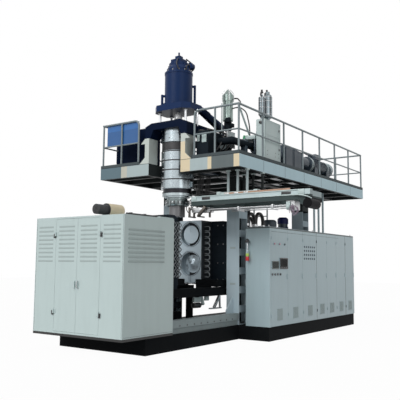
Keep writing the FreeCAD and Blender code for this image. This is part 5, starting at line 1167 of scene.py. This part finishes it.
class MACHINE_OT_platform(bpy.types.Operator):
    """Post feet, seams, pipes and the cable tray of the platform"""

    bl_idname = "machine.platform"
    bl_label = "Platform detail"

    def execute(self, context):
        feet = []
        for side in (-1, 1):
            y = 1.755 * side
            for i in range(8):
                x = min(max(POST_PITCH * i - 0.4385, -0.40), 6.02)
                feet.append(slab((x - 0.03, x + 0.03), (y - 0.03, y + 0.03), (3.668, 3.676)))
        finish(feet, "post_feet", "railing")
        seams = []
        for i in range(1, 7):
            x = PANEL_PITCH * i - 0.4535
            seams += [slab((x - 0.004, x + 0.004), span, FRINGE, 0.001) for span in mirrored(SIDE_SEAM)]
        finish(seams, "platform_seams", "dark")
        runs = [pipe([(-0.25, y, 3.47), (0.2, y, 3.40), (2.6, y, 3.40), (3.9, y, 3.47)], radius, 0.1)
                for y, radius in ((-1.45, 0.012), (-1.38, 0.016), (-1.05, 0.012), (-0.98, 0.016))]
        runs += [pipe([(x, -1.70, 3.45), (x, -0.9, 3.385), (x, 0.4, 3.385), (x, 0.9, 3.45)], 0.012, 0.1)
                 for x in (0.62, 0.70, 1.55)]
        finish(runs, "platform_pipes", "steel")
        tray = plate_with_rim((0.0, 5.9), (-0.75, -0.55), (3.37, 3.40), "-Z", 0.012, 0.02)
        finish(tray, "cable_tray", "dark")
        return {"FINISHED"}


HANGER_X, HANGER_Y = (-0.105, 0.49), (-1.335, -1.55, -1.765)
SLIDE_Y = (-2.98, -0.50)
CHAIN_LINKS, CHAIN_PITCH = 40, 0.0355
DRIVE_CABLE = ((-0.17, -2.74, 2.78), (-0.20, -2.90, 2.775), (-0.20, -3.05, 2.74), (-0.16, -3.12, 2.70))
# Each gripper arm's body, its place along Y, how far it leans and how thick it is.
GRIPPER_ARMS = (("near_arm", -0.83, 0.17, 0.052), ("far_arm", -0.44, 0.0, 0.036))


class MACHINE_OT_takeout(bpy.types.Operator):
    """Cable chain, clamps, drive, hoses and gripper bars of the take-out unit"""

    bl_idname = "machine.takeout"
    bl_label = "Take-out detail"

    def execute(self, context):
        tray = plate_with_rim((-0.125, -0.02), (-2.0, -1.08), (2.88, 2.93), "+Z", 0.008, 0.03)
        caps = [slab((-0.14, -0.01), (y - 0.04, y + 0.04), (2.88, 2.945)) for y in (-1.12, -1.96)]
        finish([tray, *caps], "chain_tray", "pale")
        link = slab((-0.158, -0.128), (-1.305, -1.272), (2.8805, 2.912), 0.003)
        finish(copies(link, [(0, -CHAIN_PITCH * i, 0) for i in range(CHAIN_LINKS)]), "cable_chain", "orange")
        rails = [slab((-0.172, -0.16), SLIDE_Y, span) for span in ((2.862, 2.88), (2.775, 2.79))]
        rails += [slab((-0.176, -0.158), (y - 0.06, y + 0.06), (2.79, 2.88), 0.004) for y in (-0.56, -2.92)]
        finish(rails, "takeout_rails", "pale")
        slots = [slab((-0.166, -0.158), y, z)
                 for y, z in (((-0.94, -0.745), (2.80, 2.855)), ((-2.714, -2.52), (2.80, 2.85)))]
        finish(slots, "takeout_slots", "black_plastic")
        brackets = [slab((-0.175, -0.035), (y - 0.05, y + 0.05), (2.88, 2.90), 0.004) for y in HANGER_Y]
        screws = [bolt((x, y + dy, 2.90), "Z", 0.010, 0.014)
                  for x in (-0.155, -0.055) for y in HANGER_Y for dy in (-0.033, 0.033)]
        finish([*brackets, *screws], "hanger_plates", "steel")
        tops = [drum(0.05, (x, y, 3.33), 0.026, "Z", 20) for x in HANGER_X for y in HANGER_Y]
        finish(tops, "hanger_collars", "pale")
        finish(pipe(DRIVE_CABLE, 0.011, 0.06), "drive_cable", "pale")
        self.moving()
        return {"FINISHED"}

    def moving(self):
        """What moves with the carriage: clamp block, thin bars, hose loops and gripper bars."""
        clamp = slab((-0.135, -0.112), (-2.68, -2.60), (2.53, 2.675), 0.004)
        lug = slab((-0.16, -0.112), (-2.67, -2.62), (2.55, 2.60), 0.004)
        finish([clamp, lug], "carriage_clamp", "pale", "carriage")
        bars = [drum(0.010, (-0.085, -1.52, 2.555), -0.95, "Y", 14, 0.001),
                drum(0.012, (0.085, -1.30, 2.57), -1.25, "Y", 14, 0.001)]
        collars = [slab((-0.115, 0.115), (y - 0.015, y + 0.015), (2.545, 2.64), 0.003)
                   for y in (-1.56, -2.30)]
        finish([*bars, *collars], "carriage_bars", "steel", "carriage")
        hoses = []
        for i in range(3):
            r = 0.055 + 0.012 * i
            x, y, z = -0.145 - 0.012 * i, -2.80 + 0.02 * i, 2.50
            turns = [math.tau * k / 14 - 0.6 for k in range(13)]
            loop = [(x, y + r * math.cos(a), z + r * 1.15 * math.sin(a)) for a in turns]
            hoses.append(pipe([(-0.12, -2.70, 2.60), *loop, (-0.12, -2.72, 2.62)], 0.006))
        finish(hoses, "carriage_hoses", "purple", "carriage")
        head = [slab((-0.112, -0.108), (-0.80, -0.46), (2.575, 2.645), 0.001)]
        head += [bolt((-0.111, y, 2.61), "X", 0.010, -0.012) for y in (-0.74, -0.52)]
        finish(head, "gripper_head_plate", "steel", "carriage")
        for body, y, lean, thick in GRIPPER_ARMS:
            bar = strut((-0.160, y, 2.665), (-0.160, y + lean, 2.475), thick, thick)
            pad = slab((-0.180, 0.04), (y + lean - 0.022, y + lean + 0.022), (2.460, 2.484), 0.005)
            finish([bar, pad], f"{body}_pad", "arm", body)


# ---------------------------------------- clamp housing
END_WALL, FLANK, HOUSING_TOP = -2.770, 1.063, 2.3155
LOUVRE_COUNT, LOUVRE_LOW, LOUVRE_PITCH = 9, 1.545, 0.074
LEAF_BODIES, LEAF_SPAN = ("near_housing_leaf", "far_housing_leaf"), (0.077, 0.461)
HINGE_CAP_Y, HINGE_CAP_HEIGHTS = 0.565, (0.668, 1.99)
GRIP = ((-2.772, -0.045, 1.22), (-2.812, -0.045, 1.21), (-2.812, -0.045, 1.11), (-2.772, -0.045, 1.10))
FAN_CAP = ((0, 0), (0.070, 0), (0.078, 0.012), (0.078, 0.10), (0.06, 0.12), (0, 0.12))
FAN_RING = ((0.118, 0), (0.124, 0.004), (0.124, 0.02), (0.118, 0.024))


class MACHINE_OT_housing(bpy.types.Operator):
    """Louvre hoods, seams, hinge caps and the top pipe of the clamp housing"""

    bl_idname = "machine.housing"
    bl_label = "Housing detail"

    def hood(self, y0, y1):
        """A pressed louvre over a slot in an end wall."""
        depth = sizes().louvre
        piece = slab((END_WALL - depth, END_WALL + 0.004), (y0 - 0.006, y1 + 0.006), (-0.006, 0.026), 0)
        hold(piece)
        for corner in piece.data.vertices:
            corner.select = corner.co.x < END_WALL and corner.co.z > 0.01
        bpy.ops.object.mode_set(mode="EDIT")
        bpy.ops.transform.translate(value=(depth * 0.9, 0, 0))
        bpy.ops.object.mode_set(mode="OBJECT")
        return ease(piece, 0.003)

    def execute(self, context):
        heights = [LOUVRE_LOW + LOUVRE_PITCH * i for i in range(LOUVRE_COUNT)]
        rows = [(0, 0, z) for z in heights]
        fixed = [copies(self.hood(*span), rows) for span in ((0.615, 0.988), (-0.988, -0.615))]
        finish(fixed, "fixed_panel_louvres", "louvre")
        reach = (FLANK - 0.004, FLANK + sizes().louvre)
        flank = [slab((-2.666, -1.739), span, (z - 0.007, z + 0.026), 0.0055)
                 for z in heights[:-1] for span in mirrored(reach)]
        finish(flank, "flank_louvres", "louvre")
        for body, span, y in zip(LEAF_BODIES, mirrored(LEAF_SPAN), (-HINGE_CAP_Y, HINGE_CAP_Y)):
            finish(copies(self.hood(*span), rows), f"{body}_louvres", "louvre", body)
            caps = [slab((-2.788, -2.769), (y - 0.020, y + 0.020), (z - 0.035, z + 0.04), 0.003)
                    for z in HINGE_CAP_HEIGHTS]
            finish(caps, f"{body}_hinge_caps", "black_plastic")
        finish(pipe(GRIP, 0.007, 0.015), "near_housing_leaf_grip", "steel", "near_housing_leaf")
        seams = [slab((-2.7715, -2.766), (y - 0.0015, y + 0.0015), (0.34, 2.30), 0)
                 for y in (-1.046, 1.046)]
        seams += [slab((-2.75, -1.49), (y - 0.0015, y + 0.0015), (0.345, 0.348), 0)
                  for y in (-FLANK, FLANK)]
        finish(seams, "housing_seams", "dark")
        tube = pipe([(-2.60, -0.95, HOUSING_TOP + 0.02), (-1.74, -0.95, HOUSING_TOP + 0.02)], 0.02)
        ties = [slab((x - 0.015, x + 0.015), (-0.98, -0.92), (HOUSING_TOP, 2.362), 0.003)
                for x in (-2.5, -2.15, -1.85)]
        finish([tube, *ties], "housing_top_pipe", "black_plastic")
        strip = slab((-1.85, -1.475), (-1.05, -0.70), (HOUSING_TOP, 2.335), 0.004)
        finish(strip, "housing_top_strip", "pale")
        self.fan()
        return {"FINISHED"}

    def fan(self):
        """The vaned cap and the rings of the fan motor."""
        low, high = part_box("housing_motor")
        end, y, z = low[0], (low[1] + high[1]) / 2, high[2] - 0.132
        cap = turned(FAN_CAP, (end - 0.002, y, z), "X", 32)
        vane = slab((end - 0.006, end), (y + 0.02, y + 0.08), (z - 0.004, z + 0.004), 0.001)
        finish([cap, ring_of(vane, 12, axis="X", centre=(0, y, z))], "fan_cap", "black_plastic")
        finish([turned(FAN_RING, (x, y, z), "X", 36) for x in (-2.0, -1.84)], "fan_rings", "cream")


# ---------------------------------------- clamp, platens and moulds
LUBRICATOR = ((0, 0), (0.045, 0), (0.055, 0.01), (0.055, 0.22), (0.04, 0.235), (0, 0.235))
PORT_X, PORT_COUNT, PORT_LOW, PORT_PITCH = 0.602, 9, 1.30, 0.122
# A cooling loop beside a mould: each point's distance from the middle plane, and its rise.
COOLING_LOOP = ((0.300, -0.042), (0.352, -0.046), (0.405, -0.050), (0.430, 0), (0.405, 0.050),
                (0.352, 0.046), (0.300, 0.042))
PLATEN_SCREW_Y, PLATEN_SCREW_HEIGHTS = (-0.60, -0.46, 0.46, 0.60), (1.20, 1.55, 1.95, 2.35)


class MACHINE_OT_clamp(bpy.types.Operator):
    """Screws, hoses, brackets and skirt of the clamp, the platens and the moulds"""

    bl_idname = "machine.clamp"
    bl_label = "Clamp detail"

    def execute(self, context):
        self.below()
        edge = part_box("moving_platen_left")[0][1] - 0.006
        hoses = []
        for x in (-0.80, -0.88, -0.96):
            curls = [(x + (0.035 if k % 2 else -0.035), edge - 0.012 * (k % 2), 1.27 + 0.058 * k)
                     for k in range(19)]
            hoses.append(pipe(curls, 0.011, 0.02))
        finish(hoses, "platen_hoses", "hose_grey", "left_clamp")
        skirt = [plate_with_rim((0.49, 0.52), span, (1.058, 1.205), "-X", 0.02, 0.004)
                 for span in ((-0.68, -0.145), (0.145, 0.52))]
        skirt.append(slab((0.49, 0.52), (-0.53, -0.145), (0.972, 1.06), 0.004))
        skirt += [slab((0.515, 0.852), (y - 0.012, y + 0.012), (1.06, 1.20), 0.003)
                  for y in (-0.66, -0.32, 0.32, 0.50)]
        finish(skirt, "platen_skirt", "black", "right_clamp")
        for side, sign in (("left", -1), ("right", 1)):
            self.mould(side, sign)
        return {"FINISHED"}

    def below(self):
        """The lubricator and the bracket in the bay below the moulds."""
        block = plate_with_rim((-0.095, 0.15), (-0.535, -0.49), (0.76, 0.88), "-Y", 0.01, 0.004)
        wedge = strut((0.17, -0.51, 0.88), (0.25, -0.51, 0.70), 0.05, 0.05)
        small = slab((0.30, 0.42), (-0.54, -0.49), (0.78, 0.88), 0.004)
        finish([block, wedge, small], "lubricator", "pale")
        finish(turned(LUBRICATOR, (-0.11, -0.515, 0.70), "X", 28), "lubricator_barrel", "black_plastic")
        bracket = strut((0.62, -0.66, 0.875), (0.42, -0.66, 0.64), 0.05, 0.045)
        back = strut((0.63, -0.66, 0.875), (0.64, -0.66, 0.64), 0.03, 0.03)
        foot = slab((0.27, 0.67), (-0.69, -0.63), (0.615, 0.64), 0.004)
        finish([bracket, back, foot], "guide_bracket", "steel")

    def mould(self, side, sign):
        """Neck plates, water ports, cooling loops and screws of one half of the mould."""
        body = f"{side}_clamp"
        face, port = MOULD_FACE * sign, PORT_X * sign
        neck = [slab((face, face + 0.14 * sign), span, (1.10, 1.145), 0.004)
                for span in ((-0.13, -0.05), (0.05, 0.13))]
        finish(neck, f"{body}_neck_plates", "bright", body)
        places = [(flank, PORT_LOW + PORT_PITCH * i) for flank in (-1, 1) for i in range(PORT_COUNT)]
        ports = [drum(0.015, (port, 0.290 * flank, z + rise), 0.022 * flank, "Y", 6, 0.001)
                 for flank, z in places for rise in (-0.042, 0.042)]
        finish(ports, f"{body}_water_ports", "dark_steel", body)
        loops = [pipe([(port, y * flank, z + rise) for y, rise in COOLING_LOOP], sizes().hose, 0.03)
                 for flank, z in places]
        finish(loops, f"cooling_loops_{side}", "hose_grey", body, stands_for=[f"cooling_hoses_{side}"])
        screws = [bolt((0.85 * sign, y, z), "X", 0.014, -0.012 * sign)
                  for y in PLATEN_SCREW_Y for z in PLATEN_SCREW_HEIGHTS]
        finish(screws, f"{body}_platen_screws", "dark_steel", body)


# ---------------------------------------- cabinets
CABINET_FACE = -1.758
CABINET_TOP = 2.281
ROOF_Y = (-1.757, -1.199)
# Each cabinet door's lower edge along X and its width, in the order of the leaves.
LEAVES = [(0.85 + 0.731 * i, 0.731) for i in range(3)] + [(3.043 + 0.58525 * i, 0.58525) for i in range(4)]
VENT_BARS, VENT_PITCH = 21, 0.0115
SCREEN_DEPTH = (CABINET_FACE - 0.016, CABINET_FACE - 0.010)
# Each lamp's place along X and its finish.
LAMPS = ((0.975, "pink"), (1.201, "pink"), (1.427, "black_plastic"))
LAMP_HEIGHT = 1.951
LAMP = ((0, 0), (0.016, 0), (0.020, 0.004), (0.020, 0.014), (0, 0.016))
INDICATOR_PITCH_X, INDICATOR_PITCH_Z = 0.105, 0.088
SIGNAL_X, SIGNAL_Y, SIGNAL_LOW, SIGNAL_RADIUS = 0.72, -1.277, 1.60, 0.026
# Each lens of the signal lamp: its name, finish, rise and height.
SIGNAL_LENSES = (("signal_red", "red", 0.0, 0.085), ("signal_green", "lime", 0.09, 0.06))
SIGNAL_DOME = ((0, 0), (0.040, 0), (0.044, 0.01), (0.040, 0.05), (0.02, 0.075), (0, 0.08))


class MACHINE_OT_cabinets(bpy.types.Operator):
    """Screens, lamps, vents and lifting eyes of the switch cabinets"""

    bl_idname = "machine.cabinets"
    bl_label = "Cabinet detail"

    def execute(self, context):
        turns = [math.tau * k / 10 for k in range(11)]
        eye = [(0.016 + 0.006 * math.cos(a), 0.006 * math.sin(a)) for a in turns]
        lifting = []
        for x, y in [(x, y) for x in (0.86, 2.97, 3.12, 5.31) for y in (-1.70, -1.26)]:
            lifting.append(turned(eye, (x, y, 2.314), "Y", 20))
            lifting.append(drum(0.012, (x, y, CABINET_TOP), 0.018, "Z", 16, 0.001))
        finish(lifting, "lifting_eyes", "steel")
        roofs = [plate_with_rim(span, ROOF_Y, (CABINET_TOP, 2.296), "+Z", 0.02, 0.006)
                 for span in ((0.79, 3.040), (3.046, 5.383))]
        finish(roofs, "cabinet_roofs", "cabinet")
        self.panel()
        for i, (start, width) in enumerate(LEAVES, 1):
            self.vent(f"cabinet_leaf_{i}", start + width / 2)
        self.signal()
        return {"FINISHED"}

    def vent(self, body, middle):
        """The framed vent at the foot of a door."""
        depth, side = (CABINET_FACE - 0.004, CABINET_FACE), middle - 0.115
        frame = plate_with_rim((middle - 0.125, middle + 0.125), depth, (0.385, 0.635), "-Y", 0.008, 0.002)
        finish(frame, f"{body}_vent_frame", "cabinet", body)
        bars = [slab((x, x + 0.005), (CABINET_FACE - 0.0035, CABINET_FACE - 0.001), (0.395, 0.625), 0)
                for x in [side + VENT_PITCH * k for k in range(VENT_BARS)]]
        finish(bars, f"{body}_vent_bars", "grille", body)

    def panel(self):
        """The operator's screens, keys, lamps and indicators."""
        body = "cabinet_leaf_1"
        first = plate_with_rim((0.866, 1.163), SCREEN_DEPTH, (1.437, 1.600), "-Y", 0.014, 0.004)
        finish(first, "left_screen", "screen", body)
        second = plate_with_rim((1.208, 1.564), SCREEN_DEPTH, (1.437, 1.667), "-Y", 0.022, 0.004)
        keys = [slab((x, x + 0.070), (CABINET_FACE - 0.017, CABINET_FACE - 0.012), (1.455, 1.485), 0.002)
                for x in (1.235, 1.335, 1.435)]
        finish([second, *keys], "right_screen", "black_plastic", body)
        for k, (x, tone) in enumerate(LAMPS, 1):
            lens = facing_back(LAMP, (x, CABINET_FACE - 0.008, LAMP_HEIGHT), "Y", 24)
            finish(lens, f"lamp_{k}", tone, body)
        dots = [drum(0.021, (2.40 + INDICATOR_PITCH_X * k, CABINET_FACE, 1.665 + INDICATOR_PITCH_Z * row),
                     -0.010, "Y", 14, 0.002) for row in range(4) for k in range(6)]
        finish(dots, "indicators", "dark", "cabinet_leaf_3")

    def signal(self):
        """The signal lamp on the cabinet's end: coloured lenses, a dark dome and its stem."""
        x, y, low = SIGNAL_X, SIGNAL_Y, SIGNAL_LOW
        collar, rim = SIGNAL_RADIUS + 0.006, SIGNAL_RADIUS + 0.010
        for name, tone, rise, tall in SIGNAL_LENSES:
            profile = [(0, 0), (collar, 0), (rim, 0.006), (rim, tall - 0.006), (collar, tall), (0, tall)]
            finish(turned(profile, (x, y, low + rise), steps=28), name, tone)
        finish(turned(SIGNAL_DOME, (x, y, low + 0.37), steps=28), "signal_dome", "black_plastic")
        stem = drum(0.011, (x, y, low + 0.14), 0.24, "Z", 20)
        ring = drum(0.022, (x, y, low + 0.20), 0.012, "Z", 20)
        finish([stem, ring], "signal_stem", "bright")


# ---------------------------------------- hydraulics
# Each pump motor's place (X and Y), radius, top and finish.
PUMP_MOTORS = ((3.095, -0.51, 0.150, 2.62, "dark"), (3.73, -0.54, 0.122, 2.725, "motor_blue"))
# Each hose's foot (X and Y) and the height of its bow.
PUMP_HOSES = ((1.87, -0.59, 2.70), (2.26, -0.59, 2.73), (2.05, -0.45, 2.62))
HOSE_SPAN, HOSE_FOOT = 0.34, 1.50


class MACHINE_OT_hydraulics(bpy.types.Operator):
    """Fins and terminal boxes of the pump motors, the hoses and the lids of the tank"""

    bl_idname = "machine.hydraulics"
    bl_label = "Hydraulic detail"

    def execute(self, context):
        for k, motor in enumerate(PUMP_MOTORS, 1):
            self.motor(k, *motor)
        wide = HOSE_SPAN
        hoses = []
        for x, y, high in PUMP_HOSES:
            arch = ((0, high - 0.16), (0.05, high - 0.04), (wide / 2, high), (wide - 0.05, high - 0.04),
                    (wide, high - 0.16), (wide, HOSE_FOOT))
            route = [(x, y, HOSE_FOOT), *((x + on, y, z) for on, z in arch)]
            hoses.append(pipe(route, 0.042, 0.07, sides=4, steps=6))
        finish(hoses, "pump_hoses", "rubber", stands_for=["hydraulic_hoses"])
        cuffs = [drum(0.05, (x, -0.59, z), 0.06, "Z", 20)
                 for x in (1.87, 2.21, 2.26, 2.60) for z in (HOSE_FOOT, 2.40)]
        finish(cuffs, "hose_cuffs", "steel")
        lids = [plate_with_rim(span, (-0.715, -0.700), (0.60, 1.20), "-Y", 0.03, 0.006)
                for span in ((1.80, 2.35), (2.55, 3.10))]
        finish(lids, "tank_lids", "cabinet")
        return {"FINISHED"}

    def motor(self, k, x, y, radius, top, tone):
        """Fins, hood, foot and terminal box of a pump motor."""
        fin = slab((radius - 0.004, radius + 0.014), (-0.003, 0.003), (1.72, top - 0.24), 0.001)
        fins = ring_of(fin, 26)
        shift_mesh(fins, (x, y, 0))
        inner, hood_edge, foot_edge = radius - 0.01, radius + 0.016, radius + 0.03
        hood = turned([(inner, 0), (hood_edge, 0), (hood_edge, 0.12), (radius - 0.02, 0.16), (0, 0.165)],
                      (x, y, top - 0.165), steps=32)
        foot = turned([(inner, 0), (foot_edge, 0), (foot_edge, 0.03), (inner, 0.035)], (x, y, 1.52), steps=32)
        finish([fins, hood, foot], f"pump_motor_shell_{k}", tone)
        near = (y - radius - 0.07, y - radius + 0.01)
        box = plate_with_rim((x - 0.06, x + 0.06), near, (top - 0.55, top - 0.40), "-Y", 0.01, 0.003)
        finish(box, f"pump_terminal_box_{k}", "dark")


# ---------------------------------------- skid and columns
ANCHOR_X, ANCHOR_Y, ANCHOR_SEAT = (0.95, 1.10, 4.02, 4.17), (0.78, 0.95), 0.303
RAIL_FACE, RAIL_SCREWS, RAIL_PITCH = 1.0162, 9, 0.22
COLUMN_FACE = 0.8175


class MACHINE_OT_base(bpy.types.Operator):
    """Anchor bolts, lugs and rail screws along the skid and the columns"""

    bl_idname = "machine.base"
    bl_label = "Base detail"

    def execute(self, context):
        anchors = [bolt((x, y * side, ANCHOR_SEAT), "Z", 0.020, 0.03)
                   for side in (-1, 1) for x in ANCHOR_X for y in ANCHOR_Y]
        finish(anchors, "column_anchors", "dark_steel")
        screws = [bolt((-1.20 + RAIL_PITCH * i, RAIL_FACE * side, 0.42), "Y", 0.012, 0.010 * side)
                  for side in (-1, 1) for i in range(RAIL_SCREWS)]
        finish(screws, "rail_screws", "dark_steel")
        depth = (COLUMN_FACE - 0.004, COLUMN_FACE)
        lugs = [plate_with_rim(depth, (-0.93, -0.80), (z, z + 0.04), "-X", 0.004, 0.001)
                for z in (1.10, 1.85)]
        finish(lugs, "column_lugs", "grey")
        return {"FINISHED"}


# ---------------------------------------- running order
PIECE_ORDER = [
    "paint", "head", "tower", "deck_machines", "feed", "extruder", "platform", "takeout", "housing", "clamp",
    "cabinets", "hydraulics", "base", "stage",
]


class MACHINE_PT_panel(bpy.types.Panel):
    """Lists the pieces of the machine in the 3D view's sidebar"""

    bl_label = "Blow moulding machine"
    bl_idname = "MACHINE_PT_panel"
    bl_space_type = "VIEW_3D"
    bl_region_type = "UI"
    bl_category = "Machine"

    def draw(self, context):
        for word in PIECE_ORDER:
            self.layout.operator(f"machine.{word}")


CLASSES = [
    MachineColours, MachineSizes, MACHINE_OT_paint, MACHINE_OT_head, MACHINE_OT_tower,
    MACHINE_OT_deck_machines, MACHINE_OT_feed, MACHINE_OT_extruder, MACHINE_OT_platform,
    MACHINE_OT_takeout, MACHINE_OT_housing, MACHINE_OT_clamp, MACHINE_OT_cabinets,
    MACHINE_OT_hydraulics, MACHINE_OT_base, MACHINE_OT_stage, MACHINE_PT_panel,
]


def register():
    for kind in CLASSES:
        bpy.utils.register_class(kind)
    bpy.types.Scene.machine_colours = bpy.props.PointerProperty(type=MachineColours)
    bpy.types.Scene.machine_sizes = bpy.props.PointerProperty(type=MachineSizes)


def unregister():
    del bpy.types.Scene.machine_sizes
    del bpy.types.Scene.machine_colours
    for kind in reversed(CLASSES):
        bpy.utils.unregister_class(kind)


def main():
    register()
    for word in PIECE_ORDER:
        getattr(bpy.ops.machine, word)()


if __name__ == "__main__":
    main()
